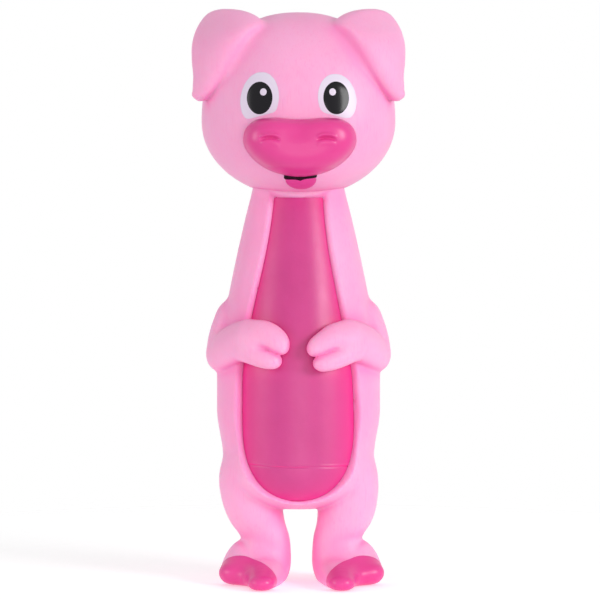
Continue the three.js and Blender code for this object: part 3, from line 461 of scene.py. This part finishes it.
def body(x, y, z):
    """The whole body skin: sleeve with its hollow and window, then arms and legs joined on with fillets."""
    room = bottle_room(x, y, z)
    width, depth = sleeve_halves(z)
    along = np.arctan2(np.abs(x) / width, -y / depth) * ARM_WRAP
    rise = (np.hypot(x / width, y / depth) - 1) * (width + depth) / 2
    opening = window(x, y, z)
    flank = join(rimmed_torso(x, y, z, opening), limb(along, z, rise, UPPER_ARM), 2.2)
    stride = x - STANCE * (1 - ease(20, 60, z))
    legs = join(leg(stride, y, z), foot(stride, y, z), 1.3 + 4 * (1 - ease(24, 34, np.abs(stride))))
    flank = join(flank, legs, 1.7)
    sleeve = cut(cut(flank, opening, 0.5), room, 0.1)
    pair = np.where(x < 0, fingers(along, z, rise, RIGHT_FINGERS), fingers(along, z, rise, LEFT_FINGERS))
    hand = cut(join(limb(along, z, rise, FOREARM), pair, 2.2), room, 0.1)
    whole = join(sleeve, hand, 1.4)
    return -join(-whole, z, 2.0)


def slope_of(field, points):
    """Steepest rise of a field at each point, from its change over a short way along each axis."""
    reach = 0.04
    slope = np.empty_like(points)
    for axis in range(3):
        nudge = np.zeros(3)
        nudge[axis] = reach
        slope[:, axis] = (field(*(points + nudge).T) - field(*(points - nudge).T)) / (2 * reach)
    return slope


def settle(field, points, limit):
    """Moves points onto the field's zero surface by three Newton steps along its slope."""
    for _ in range(3):
        slope = slope_of(field, points)
        push = slope * (field(*points.T) / np.maximum((slope**2).sum(1), 0.05))[:, None]
        points = points - np.clip(push, -limit, limit)
    return points


def mark_painted_fold_shade(piece, field, nearby, far, lit_ear_share=0.0):
    """Painted shade kept on the mesh as the fold mask: 0 on open ground, towards 1 where the way straight out from
    the skin for 2, 4.5, 9 and 18 mm comes near to other skin, the last with a weight of its own; the skin's
    material turns those places to its deeper colour as shade in folds. The wide-open fold of the right ear, lit by
    the key lamp, keeps only part of it."""
    points = np.empty(3 * len(piece.data.vertices), np.float32)
    piece.data.vertices.foreach_get("co", points)
    points = (points.reshape(-1, 3) - np.array([0, AXIS_Y, 0])) * 1000
    out = slope_of(field, points)
    out /= np.maximum(np.linalg.norm(out, axis=1), 0.05)[:, None]
    closed = 0
    for away, weight in ((2.0, 0.33), (4.5, 0.33), (9.0, 0.33), (18.0, far)):
        closed = closed + weight * np.clip(1 - nearby(*(points + out * away).T) / away, 0, 1)
    mask = piece.data.attributes.new("fold", "FLOAT", "POINT")
    kept = 1 - lit_ear_share * ease(4, 24, -points[:, 0]) * ease(250, 260, points[:, 2])
    mask.data.foreach_set("value", ease(0.14, 0.9, closed) * kept)


def net(field, low, high, step):
    """Skin on a field's zero surface: one point in each cell of a cubic lattice that the surface crosses, at the
    mean of the crossings on its edges, with four neighbours joined round every crossed lattice edge."""
    lattice = np.meshgrid(*[np.arange(a, b + step, step) for a, b in zip(low, high)], indexing="ij")
    value = field(*lattice)
    inside = value < 0
    corners = np.array([(i, j, k) for i in (0, 1) for j in (0, 1) for k in (0, 1)])
    size = np.array(value.shape) - 1
    count = sum(inside[i:i + size[0], j:j + size[1], k:k + size[2]].astype(np.int8) for i, j, k in corners)
    crossed = (count > 0) & (count < 8)
    cells = np.argwhere(crossed)
    number = np.full(crossed.shape, -1)
    number[crossed] = np.arange(len(cells))
    total = np.zeros((len(cells), 3))
    hits = np.zeros(len(cells))
    for a in corners:
        for b in (a + np.eye(3, dtype=int))[a == 0]:
            start = value[tuple((cells + a).T)]
            end = value[tuple((cells + b).T)]
            on = (start < 0) != (end < 0)
            share = np.where(on, start / np.where(on, start - end, 1), 0)
            total += on[:, None] * (a + share[:, None] * (b - a))
            hits += on
    points = np.array(low) + step * (cells + total / hits[:, None])
    faces = []
    for axis in range(3):
        u, v = np.eye(3, dtype=int)[[(axis + 1) % 3, (axis + 2) % 3]]
        ahead = np.roll(inside, -1, axis=axis)
        edges = np.argwhere(inside != ahead)
        edges = edges[(edges > 0).all(1) & (edges < size).all(1)]
        around = [edges, edges - u, edges - u - v, edges - v]
        quads = np.stack([number[tuple(c.T)] for c in around], -1)
        turn = inside[tuple(edges.T)]
        faces.append(np.where(turn[:, None], quads, quads[:, ::-1]))
    return settle(field, points, step * 0.5), np.vstack(faces)


def trim_rim(points):
    """Draws the points close to the window's inner edge onto that edge, where the wall meets the bottle,
    by six Newton steps in the plane of the front."""
    close, reach = 0.9, 0.05
    x, y, z = points.T
    by_bottle = np.abs(np.hypot(x, y) - bottle_radius(z) - CLEARANCE) < close
    near = (np.abs(window(x, y, z)) < close) & by_bottle & (y < -6)
    x, y, z = points[near].T
    for _ in range(6):
        off = window(x, y, z)
        by_x = (window(x + reach, y, z) - window(x - reach, y, z)) / (2 * reach)
        by_z = (window(x, y, z + reach) - window(x, y, z - reach)) / (2 * reach)
        step = off / np.maximum(by_x**2 + by_z**2, 0.05)
        x, z = x - np.clip(step * by_x, -0.5, 0.5), z - np.clip(step * by_z, -0.5, 0.5)
    y = -np.sqrt(np.maximum((bottle_radius(z) + CLEARANCE) ** 2 - x**2, 1))
    trimmed = points.copy()
    trimmed[near] = np.stack([x, y, z], -1)
    return trimmed


def body_and_bottle(x, y, z):
    """Body skin together with the bottle that it holds."""
    held = np.maximum(np.hypot(x, y) - bottle_radius(z), FOOT_Z - z)
    return np.minimum(body(x, y, z), held)


points, faces = net(body, (-52, -54, -3), (52, 46, 220), BODY_STEP)
points = trim_rim(points)
body_skin = set_down("body_skin", points, faces.tolist())
# Painted shade for the body's folds, from how near the skin and the bottle lie.
mark_painted_fold_shade(body_skin, body, body_and_bottle, 0.75)
SKIN = plastic("skin_vinyl", SKIN_COLOUR, SKIN_DEEP, 0.46, 0.2, 0.48, 0.45, SKIN_SHADE_AND_STROKE)
body_skin.data.materials.append(SKIN)
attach(body_skin, "pig")
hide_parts("body_sleeve", "left_arm", "right_arm", "left_leg", "right_leg")


# Hooves
# The front of each foot is sprayed magenta over the same moulding, with a clean masked edge.
# Each is the part of the foot ahead of a slanting, slightly bowed line, taken off the body skin there.

HOOF_TURN = math.radians(38)
HOOF_AHEAD = 35.4
HOOF_TOP = 0.026
BOW_TOP = 0.03
BOW_VALLEY = 4.6
BOW_LENGTH = 11.6
BOW_RISE = 2.9
BOW_BACK = 1.5
HOOF_COLOUR = (225, 64, 146)
HOOF_DEEP = (221, 58, 141)
MAGENTA = plastic("magenta_vinyl", HOOF_COLOUR, HOOF_DEEP, 0.3, 0.12, 0.45, 0.15)


def bow(mesh, side, across, at, way):
    """Shears one foot along the colour line's normal: by a parabola of the place along the line,
    levelled off by tanh at both ends. Way is 1 to bow the line and -1 to straighten it."""
    points = np.empty(len(mesh.vertices) * 3)
    mesh.vertices.foreach_get("co", points)
    points = points.reshape(-1, 3)
    along = (points - at) @ np.array([-across[1] * side, across[0] * side, 0]) * 1000
    ahead = BOW_RISE * np.tanh(((along - BOW_VALLEY) / BOW_LENGTH) ** 2) - BOW_BACK
    foot_here = (points[:, 2] < BOW_TOP) & (points[:, 0] * side > 0)
    points += way * 0.001 * (ahead * foot_here)[:, None] * across
    mesh.vertices.foreach_set("co", points.ravel())


def part_foot(mesh, side, keep_hoof):
    """Cuts the foot of one side along the colour line; keeps either the hoof alone or all but the hoof.
    The line bows back between the toes: the mesh is sheared by that bow, cut by a plane and sheared back.
    Both sides of the cut are closed by a fan of faces with a sharp rim."""
    def on_foot(face):
        """Whether a face's middle is on this side and no higher than the hoof."""
        middle = face.calc_center_median()
        return middle.z < HOOF_TOP and middle.x * side > 0

    across = np.array([side * math.sin(HOOF_TURN), -math.cos(HOOF_TURN), 0])
    at = (across * HOOF_AHEAD + np.array([STANCE, 0, 0])) * 0.001 + np.array([0, AXIS_Y, 0])
    bow(mesh, side, across, at, -1)
    shell = bmesh.new()
    shell.from_mesh(mesh)
    near = [f for f in shell.faces if on_foot(f)]
    edges = dict.fromkeys(e for f in near for e in f.edges)
    corners = dict.fromkeys(v for f in near for v in f.verts)
    bmesh.ops.bisect_plane(shell, geom=[*edges, *corners, *near], plane_co=at, plane_no=across, dist=1e-7)
    ahead = {f for f in shell.faces if on_foot(f) and (np.array(f.calc_center_median()) - at) @ across > 0}
    gone = [f for f in shell.faces if (f in ahead) != keep_hoof]
    bmesh.ops.delete(shell, geom=gone, context="FACES")
    rim = [e for e in shell.edges if e.is_boundary]
    for edge in rim:
        edge.smooth = False
    caps = bmesh.ops.holes_fill(shell, edges=rim, sides=0)["faces"]
    bmesh.ops.poke(shell, faces=caps)
    shell.to_mesh(mesh)
    shell.free()
    bow(mesh, side, across, at, 1)


body_skin.data.set_sharp_from_angle(angle=math.radians(60))
for name, side in (("left_hoof", 1), ("right_hoof", -1)):
    hoof = bpy.data.objects.new(name + "_paint", body_skin.data.copy())
    hoof.data.materials.clear()
    bpy.context.scene.collection.objects.link(hoof)
    part_foot(hoof.data, side, True)
    part_foot(body_skin.data, side, False)
    hoof.data.materials.append(MAGENTA)
    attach(hoof, "pig")
    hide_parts(name)


# Tail
# A small curl of the same vinyl that lies against the lower back.
# It is cast with the body, tapers, and lifts off the skin towards its free end.

TAIL_Z = 84.0
TAIL_CURL = 6.4
TAIL_RADIUS = 2.5


def swept(path, radius, count):
    """Grid of a round section carried along a path, its radius given at each point; the ends close."""
    along = np.gradient(path, axis=0)
    along /= np.linalg.norm(along, axis=1)[:, None]
    out = np.cross(along, np.array([0.0, 1.0, 0.02]))
    out /= np.linalg.norm(out, axis=1)[:, None]
    over = np.cross(along, out)
    angle = np.linspace(0, 2 * np.pi, count, endpoint=False)[:, None]
    ring = out[:, None] * np.cos(angle) + over[:, None] * np.sin(angle)
    return path[:, None] + ring * radius[:, None, None]


def tail_path():
    """Most of one turn wound flat on the back, drawing in and lifting off towards its end."""
    u = np.linspace(0, 1, 60)
    angle = -np.pi / 2 + (u * 1.78 - 0.23) * np.pi
    radius = TAIL_CURL * (1 - 0.28 * u)
    x = radius * np.cos(angle)
    z = TAIL_Z + radius * np.sin(angle)
    width, depth = sleeve_halves(z)
    return np.stack([x, depth * np.sqrt(1 - (x / width) ** 2) + 0.6 + 1.6 * u, z], -1), u


path, share = tail_path()
fade = np.sqrt(np.clip(1 - np.abs(2 * share - 1) ** 14, 0, 1))
tail = grid_piece("tail_curl", swept(path, TAIL_RADIUS * (1 - 0.35 * share) * fade, 24))
tail.data.materials.append(SKIN)
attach(tail, "pig")
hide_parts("tail")


# Head skin
# The head is a second hollow vinyl moulding with both ears cast on, pressed over the neck's bead.
# Each ear is a thick flap that folds over at the crown and hangs; behind is a round seat for the squeaker.

HEAD_Z = 244.0
HEAD_HALF = (51.5, 45.0)
HEAD_UP = 58.1
HEAD_DOWN = 39.5
HEAD_Y = -3.0
HEAD_WALL = 4.2
HEAD_STEP = 1.0
CROWN_POWER = 2.3
LEVEL_POWER = 2.15
NECK_GAP = 0.12
EAR_TOP = 304.4
EAR_DROP = 47.6
EAR_REACH = 54.4
EAR_LEAN = 0.22
EAR_SLANT = 0.85
SEAT_DEPTH = 1.7
SEAT_RADIUS = 12.3
SEAT_BORE = 9.2
BOSS_RADIUS = 14.0
BOSS_THICK = 3.4
cup_low, cup_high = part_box("squeaker_cup")
CUP_Z = (cup_low.z + cup_high.z) * 500
CUP_OUT = (cup_high.y - AXIS_Y) * 1000


def skull(x, y, z, inset=0.0):
    """Superelliptic crown over a jaw that narrows like a circle from the front and stays full in depth."""
    wide, deep = HEAD_HALF[0] - inset, HEAD_HALF[1] - inset
    up = np.maximum(z - HEAD_Z, 0) / (HEAD_UP - inset)
    crown = oval(oval(x / wide, (y - HEAD_Y) / deep, LEVEL_POWER), up, CROWN_POWER)
    down = np.clip((HEAD_Z - z) / (HEAD_DOWN - inset), 0, 0.985)
    jaw = wide * np.sqrt(1 - down**2)
    chin = deep * (1 - down**3) ** (1 / 3)
    below = (oval(x / jaw, (y - HEAD_Y) / chin, LEVEL_POWER) - 1) * np.minimum(jaw, chin)
    level = HEAD_Z - HEAD_DOWN + inset + 0.7 - z
    return np.where(z > HEAD_Z, (crown - 1) * deep, -join(-below, -level, 5.0))


def ear(x, y, z):
    """Level slabs on a slant from the forehead back to the side, with round edges; each row gives the inner and
    outer edge, how far ahead the inner edge lies and the half thickness, by the root of the drop."""
    lifted = z + EAR_LEAN * (-8 - y)
    drop = np.sqrt(np.clip((EAR_TOP - lifted) / EAR_DROP, 0, 1))
    rows = [0, 0.13, 0.26, 0.38, 0.5, 0.63, 0.755, 0.855, 0.93, 0.98, 1]
    inner = EAR_REACH * curve(drop, rows, [0.66, 0.53, 0.425, 0.4, 0.48, 0.56, 0.64, 0.72, 0.8, 0.875, 0.915])
    outer = EAR_REACH * curve(drop, rows, [0.68, 0.785, 0.87, 0.925, 0.97, 1, 1, 0.985, 0.99, 0.99, 0.96])
    front = curve(drop, rows, [0.34, 0.43, 0.54, 0.63, 0.69, 0.72, 0.7, 0.64, 0.56, 0.48, 0.44])
    ahead = HEAD_Y - HEAD_HALF[1] * front
    thick = curve(drop, rows, [0.8, 4.2, 6.6, 8.2, 8.8, 8.4, 7.4, 6.6, 5.8, 4.4, 2])
    slant = math.atan(EAR_SLANT)
    half = (outer - inner) / 2 / math.cos(slant)
    across = np.abs(x) - (inner + outer) / 2
    back = y - ahead - EAR_SLANT * (outer - inner) / 2
    u = (across * math.cos(slant) + back * math.sin(slant)) / half
    v = (back * math.cos(slant) - across * math.sin(slant)) / thick
    flap = (oval(u, v, 2.25) - 1) * np.minimum(thick, half)
    beyond = np.maximum(lifted - EAR_TOP, EAR_TOP - EAR_DROP - lifted)
    return np.maximum(flap, beyond)


def squeaker_seat(wall, x, y, z):
    """Wall with a boss inside the back of the head, a round flat-bottomed seat sunk in it
    and a bore through both."""
    off = np.hypot(x, z - CUP_Z)
    floor = CUP_OUT - SEAT_DEPTH
    boss = np.maximum(off - BOSS_RADIUS, np.maximum(floor - BOSS_THICK - y, y - floor))
    room = np.minimum(np.maximum(off - SEAT_RADIUS, floor - y), np.maximum(off - SEAT_BORE, 10 - y))
    return cut(join(wall, boss, 0.6), room, 0.8)


def head(x, y, z):
    """Skull with the ears joined on softly at the fold and with a tighter crease lower down,
    hollow, open at the neck."""
    fillet = 1.8 + 1.8 * ease(258, 272, z) + 1.2 * ease(272, 298, z)
    whole = join(skull(x, y, z), ear(x, y, z), fillet)
    hollow = cut(whole, skull(x, y, z, HEAD_WALL), 0.5)
    width, depth = sleeve_halves(z)
    neck = np.maximum((np.hypot(x / width, y / depth) - 1) * depth - NECK_GAP, z - COLLAR_TOP_Z - 1)
    return cut(squeaker_seat(hollow, x, y, z), neck, 0.3)


def head_and_body(x, y, z):
    """Head skin together with the body's neck under it."""
    return np.minimum(head(x, y, z), torso(x, y, z))


points, faces = net(head, (-60, -52, 203), (60, 46, 307), HEAD_STEP)
head_skin = set_down("head_skin", points, faces.tolist())
# Painted shade for the head's folds, weaker far out and lighter on the right ear's fold, which faces the key lamp.
mark_painted_fold_shade(head_skin, head, head_and_body, 0.25, 0.6)
head_skin.data.set_sharp_from_angle(angle=math.radians(60))
head_skin.data.materials.append(SKIN)
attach(head_skin, "pig")
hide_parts("head_shell", "left_ear", "right_ear")


# Snout
# A broad flat-topped bulge on the face, cast with the head and sprayed magenta.
# Two nostrils are pressed into its front as shallow curved slits.

SNOUT_Z = 230.0
SNOUT_BACK = -34.0
SNOUT_TIP = -61.6
SNOUT_SQUARE = 0.5
NOSTRIL_X = 14.4
NOSTRIL_Z = 230.2
NOSTRIL_HALF = 5.2
NOSTRIL_DEPTH = 1.4


def snout_points():
    """Rings from the face to the tip. Their outline is a kidney, given as a radius by the angle from the level
    line. They shrink as the root of a cosine while they come forward as the root of a sine, and each nostril
    is pushed in along a short arc between two raised lips."""
    u = np.linspace(0, 1, 110)[:, None]
    angle = np.linspace(-np.pi / 2, 3 * np.pi / 2, 280, endpoint=False)[None]
    tilt = np.degrees(np.arcsin(np.clip(np.sin(angle), -1, 1)))
    knots = [-90, -72, -51, -29, -10, 0, 6, 15, 27, 39, 57, 75, 90]
    reach = curve(tilt, knots, [17, 17.5, 19.4, 23.1, 27.2, 29, 29.3, 28.7, 25.6, 20.3, 14.9, 12.6, 12.1])
    size = np.abs(np.cos(u * np.pi / 2)) ** SNOUT_SQUARE
    x = reach * np.cos(angle) * size
    z = SNOUT_Z + reach * np.sin(angle) * size + 0.8 * np.sin(u * np.pi / 2) ** 4
    y = SNOUT_BACK + (SNOUT_TIP - SNOUT_BACK) * np.sin(u * np.pi / 2) ** SNOUT_SQUARE + 0 * angle
    along = (np.abs(x + 0.8) - NOSTRIL_X) / NOSTRIL_HALF
    arc = z - NOSTRIL_Z - 1.2 * (1 - along**2)
    ends = np.clip(1 - along**4, 0, 1)
    lips = 0.75 * np.exp(-(((arc - 1.7) / 0.75) ** 2)) + 0.4 * np.exp(-(((arc + 2.4) / 1.5) ** 2))
    dent = ends * (NOSTRIL_DEPTH * np.exp(-((arc / 0.75) ** 2)) - lips)
    saddle = 0.9 * np.exp(-((x / 6) ** 2)) * ease(228, 236, z)
    return np.stack([x + 0.7, y + (dent + saddle) * ease(0.35, 0.6, u), z], -1)


rings = snout_points()
back_middle = rings[:1] * np.array([0, 1, 0]) + np.array([0, 0, SNOUT_Z])
snout = grid_piece("snout_bulge", np.concatenate([back_middle, rings]))
snout.data.materials.append(MAGENTA)
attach(snout, "pig")
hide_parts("snout")


# Eyes
# Each eye is printed on the face in three passes: a pale egg shape, a black pupil and a round glint.
# The layers are thin glossy films that follow the face.

EYE_X = 19.9
EYE_Z = 253.4
EYE_HALF_X = 10.2
EYE_HALF_Z = 13.1
EYE_FOOT = 10.0
PUPIL_HALF = (6.7, 8.5)
GLINT_HALF = (1.75, 1.9)
FIRST_PASS = -0.02
SECOND_PASS = 0.1
THIRD_PASS = 0.22
FILM_THICK = 0.14
FILM_SUNK = 0.4


def face_y(x, z):
    """Depth of the face in front of a point, found by halving between the middle of the head and the air."""
    near, far = np.full(np.shape(x), -60.0), np.full(np.shape(x), HEAD_Y)
    for _ in range(40):
        middle = (near + far) / 2
        out = skull(x, middle, z) > 0
        near, far = np.where(out, middle, near), np.where(out, far, middle)
    return (near + far) / 2


def film(name, outline, base, rows=14, around=96):
    """Closed film over the face: rows run from the middle out to the outline and back behind it, sunk in the
    face there. Its thickness over the base falls with the sixth power of the share of the way to the rim."""
    share = np.concatenate([np.linspace(0, 1, rows), np.linspace(1, 0, rows)[1:]])[:, None]
    side = np.concatenate([np.ones(rows), np.zeros(rows - 1)])[:, None]
    angle = np.linspace(0, 2 * np.pi, around, endpoint=False)[None]
    x, z = outline(share, angle)
    height = side * (base + FILM_THICK * (1 - share**6)) - (1 - side) * FILM_SUNK
    piece = grid_piece(name, np.stack([x, face_y(x, z) - height, z], -1))
    piece.data.set_sharp_from_angle(angle=math.radians(35))
    return piece


def eye_outline(side):
    """Egg that leans towards the nose, its foot cut along a line that falls towards the outside,
    corners rounded. The right one stands a little taller."""
    def outline(share, angle):
        """Place at a share of the way out to the rim, in the direction of an angle."""
        c, s = np.cos(angle), np.sin(angle)
        u = EYE_HALF_X * np.sign(c) * np.abs(c) ** 0.9 * (1 - 0.06 * s)
        v = (EYE_HALF_Z - 0.5 * side) * s
        v = -join(-v, EYE_FOOT + 0.24 * u * side, 2.2)
        return side * EYE_X + (u - side * 0.06 * v) * share, EYE_Z - 0.2 + v * share
    return outline


def oval_outline(x, z, half_x, half_z):
    """Plain ellipse round a point, as a place by the share of the way out and the angle."""
    return lambda share, angle: (x + half_x * share * np.cos(angle), z + half_z * share * np.sin(angle))


def paint(name, colour, deeper, roughness, shine):
    """Smooth glossy ink with the faint unevenness of the moulding under it."""
    return plastic(name, colour, deeper, roughness, 0.03, shine)


EYE_WHITE = paint("eye_white_paint", (224, 212, 230), (219, 206, 226), 0.3, 0.3)
BLACK = paint("black_paint", (18, 15, 22), (15, 13, 19), 0.14, 0.2)
for name, side, look_x in (("left", 1, 19.4), ("right", -1, -19.9)):
    pupil_edge = oval_outline(look_x, EYE_Z - 0.3, *PUPIL_HALF)
    glint_edge = oval_outline(look_x - side * 1.9, EYE_Z + 2.6, *GLINT_HALF)
    white = film(name + "_eye_white_film", eye_outline(side), FIRST_PASS)
    pupil = film(name + "_pupil_film", pupil_edge, SECOND_PASS)
    glint = film(name + "_glint_film", glint_edge, THIRD_PASS)
    for piece, node, material, slot in (
        (white, "_eye_white", EYE_WHITE, "eye_white_paint"),
        (pupil, "_pupil", BLACK, "black_paint"),
        (glint, "_eye_glint", EYE_WHITE, "eye_white_paint"),
    ):
        piece.data.materials.append(material)
        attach(piece, "pig")
        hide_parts(name + node)


# Mouth
# A short black line is printed under the snout, and below it a magenta tongue, lightened as painted light against
# the snout's shade.
# Both are thin glossy films that follow the chin.

MOUTH_Z = 213.0
MOUTH_HALF = 8.5
TONGUE_HALF = 8.2
TONGUE_DROP = 5.0
# The tongue's magenta is lighter than the snout's, as painted light against the shade under the snout.
TONGUE_LIGHTENED = (236, 76, 158)
TONGUE_LIGHTENED_DEEP = (232, 70, 153)


def mouth_outline(share, angle):
    """Bar with blunt ends that sags a little in the middle and has a small point on its lower edge."""
    c, v = np.cos(angle), np.sin(angle)
    x = MOUTH_HALF * share * np.sign(c) * np.abs(c) ** 0.25
    z = (1.12 - 0.035 * x) * share * np.sign(v) * np.abs(v) ** 0.35
    point = 0.9 * np.exp(-(((x - 0.6) / 1.3) ** 2)) * np.clip(-z, 0, 1)
    return 1.0 + x, MOUTH_Z - 0.2 + 0.02 * x + 0.006 * x**2 - point + z


def tongue_outline(share, angle):
    """Half disc with a flat top hanging from the line of the mouth."""
    c, v = np.cos(angle), np.sin(angle)
    x = TONGUE_HALF * share * np.where(v > 0, np.sign(c) * np.abs(c) ** 0.35, c)
    z = share * np.where(v > 0, 0.9 * np.abs(v) ** 0.5, -TONGUE_DROP * np.abs(v))
    return 1.2 + x, MOUTH_Z - 1.2 + z


mouth = film("mouth_line_paint", mouth_outline, SECOND_PASS)
mouth.data.materials.append(BLACK)
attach(mouth, "pig")
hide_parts("mouth_line")
tongue = film("tongue_paint", tongue_outline, FIRST_PASS)
# Lightened magenta: painted light in the snout's shade.
tongue.data.materials.append(plastic("tongue_vinyl", TONGUE_LIGHTENED, TONGUE_LIGHTENED_DEEP, 0.3, 0.12, 0.45, 0.15))
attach(tongue, "pig")
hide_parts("tongue")


# Squeaker
# A pale plastic cup with a flange is pressed into the back of the head, a small vent in its middle.
# Inside it a slotted block carries the reed that squeaks.

PALE = plastic("squeaker_plastic", (240, 236, 230), (234, 229, 222), 0.4, 0.1)


def cup_points():
    """Closed outline of the cup turned round its own axis, which lies along the depth of the head."""
    outline = np.array([
        [1.5, -1.1], [1.5, -0.3], [1.8, 0], [6, 0], [11.4, -0.1], [11.9, -0.5], [12, -1.1], [11.7, -1.5],
        [9.2, -1.6], [9, -1.9], [9, -10.7], [8.7, -11], [8.1, -11], [7.8, -10.7], [7.8, -1.3], [7.5, -1.2],
        [1.7, -1.2],
    ])
    angle = np.linspace(0, 2 * np.pi, 72, endpoint=False)
    radius, depth = outline[:, 0, None], outline[:, 1, None]
    x, z = radius * np.cos(angle), CUP_Z + radius * np.sin(angle)
    return np.stack([x, CUP_OUT + depth + 0 * angle, z], -1)


def ring_piece(name, points):
    """Closed surface over a grid whose rows and columns both join up with their starts."""
    number = np.arange(points.shape[0] * points.shape[1]).reshape(points.shape[:2])
    beside, below = np.roll(number, -1, axis=1), np.roll(number, -1, axis=0)
    quads = np.stack([number, beside, np.roll(below, -1, axis=1), below], -1).reshape(-1, 4)
    return set_down(name, points.reshape(-1, 3), quads.tolist())


cup = ring_piece("squeaker_cup_moulding", cup_points())
cup.data.set_sharp_from_angle(angle=math.radians(35))
cup.data.materials.append(PALE)
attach(cup, "pig")
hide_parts("squeaker_cup")
for node in ("reed_block", "squeaker_reed"):
    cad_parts[node].data.materials.clear()
    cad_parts[node].data.materials.append(PALE)


# Studio
# A sheet of white paper under soft light: a broad lamp from the right, a fill from the left and a low one in front.
# The camera stands level, a little over a metre ahead of the bottle's axis.

SHEET = 6.0
SURROUND_LIGHT = 0.48
TOY_MIDDLE = (0, 0, 0.15)
CAMERA_AWAY = 1.1
CAMERA_X = 0.0008
CAMERA_Z = 0.1495
sheet_corners = [(-SHEET, -SHEET, 0), (SHEET, -SHEET, 0), (SHEET, SHEET, 0), (-SHEET, SHEET, 0)]
floor_mesh = bpy.data.meshes.new("floor")
floor_mesh.from_pydata(sheet_corners, [], [(0, 1, 2, 3)])
floor = bpy.data.objects.new("floor", floor_mesh)
bpy.context.scene.collection.objects.link(floor)


def paper_sweep():
    """White paper that fades out evenly into the white surroundings away from the toy."""
    material = bpy.data.materials.new("white_paper")
    material.use_nodes = True
    tree = material.node_tree
    shader = tree.nodes["Principled BSDF"]
    place = tree.nodes.new("ShaderNodeTexCoord").outputs["Object"]
    away = value_node(tree, "ShaderNodeVectorMath", {0: place}, operation="LENGTH")
    tree.links.new(stretch(tree, away.outputs["Value"], 0.12, 0.5, 1.0, 0.0), shader.inputs["Alpha"])
    shader.inputs["Base Color"].default_value = (0.95, 0.95, 0.95, 1)
    shader.inputs["Roughness"].default_value = 0.9
    shader.inputs["Emission Color"].default_value = (1, 1, 1, 1)
    shader.inputs["Emission Strength"].default_value = 0.38
    return material


floor_mesh.materials.append(paper_sweep())

world = bpy.data.worlds.new("studio")
world.use_nodes = True
bpy.context.scene.world = world
sky = world.node_tree
ray = sky.nodes.new("ShaderNodeLightPath").outputs
seen = ray["Is Camera Ray"]
for other in ("Is Glossy Ray", "Is Transmission Ray"):
    seen = value_node(sky, "ShaderNodeMath", {0: seen, 1: ray[other]}, operation="MAXIMUM").outputs[0]
strength = stretch(sky, seen, 0.0, 1.0, SURROUND_LIGHT, 1.0)
sky.links.new(strength, sky.nodes["Background"].inputs["Strength"])
sky.nodes["Background"].inputs["Color"].default_value = (1, 1, 1, 1)


def lamp(name, place, size, power):
    """Square area lamp that looks at the middle of the toy."""
    data = bpy.data.lights.new(name, "AREA")
    data.size = size
    data.energy = power
    item = bpy.data.objects.new(name, data)
    bpy.context.scene.collection.objects.link(item)
    item.location = place
    aim = np.array(TOY_MIDDLE) - np.array(place)
    tip = math.acos(-aim[2] / np.linalg.norm(aim))
    item.rotation_euler = (tip, 0, math.atan2(aim[0], -aim[1]) + math.pi)


lamp("key_lamp", (1.3, -1.0, 0.58), size=0.6, power=15)
lamp("fill_lamp", (-1.3, -0.6, 0.4), size=0.6, power=4.8)
lamp("low_lamp", (0.1, -1.5, 0.05), size=0.8, power=4)

camera_data = bpy.data.cameras.new("camera")
camera_data.sensor_width = 36
camera_data.lens = 123.6
camera = bpy.data.objects.new("camera", camera_data)
bpy.context.scene.collection.objects.link(camera)
camera.location = (CAMERA_X, AXIS_Y - CAMERA_AWAY, CAMERA_Z)
camera.rotation_euler = (math.pi / 2, 0, 0)
bpy.context.scene.camera = camera
bpy.context.scene.view_settings.view_transform = "Standard"
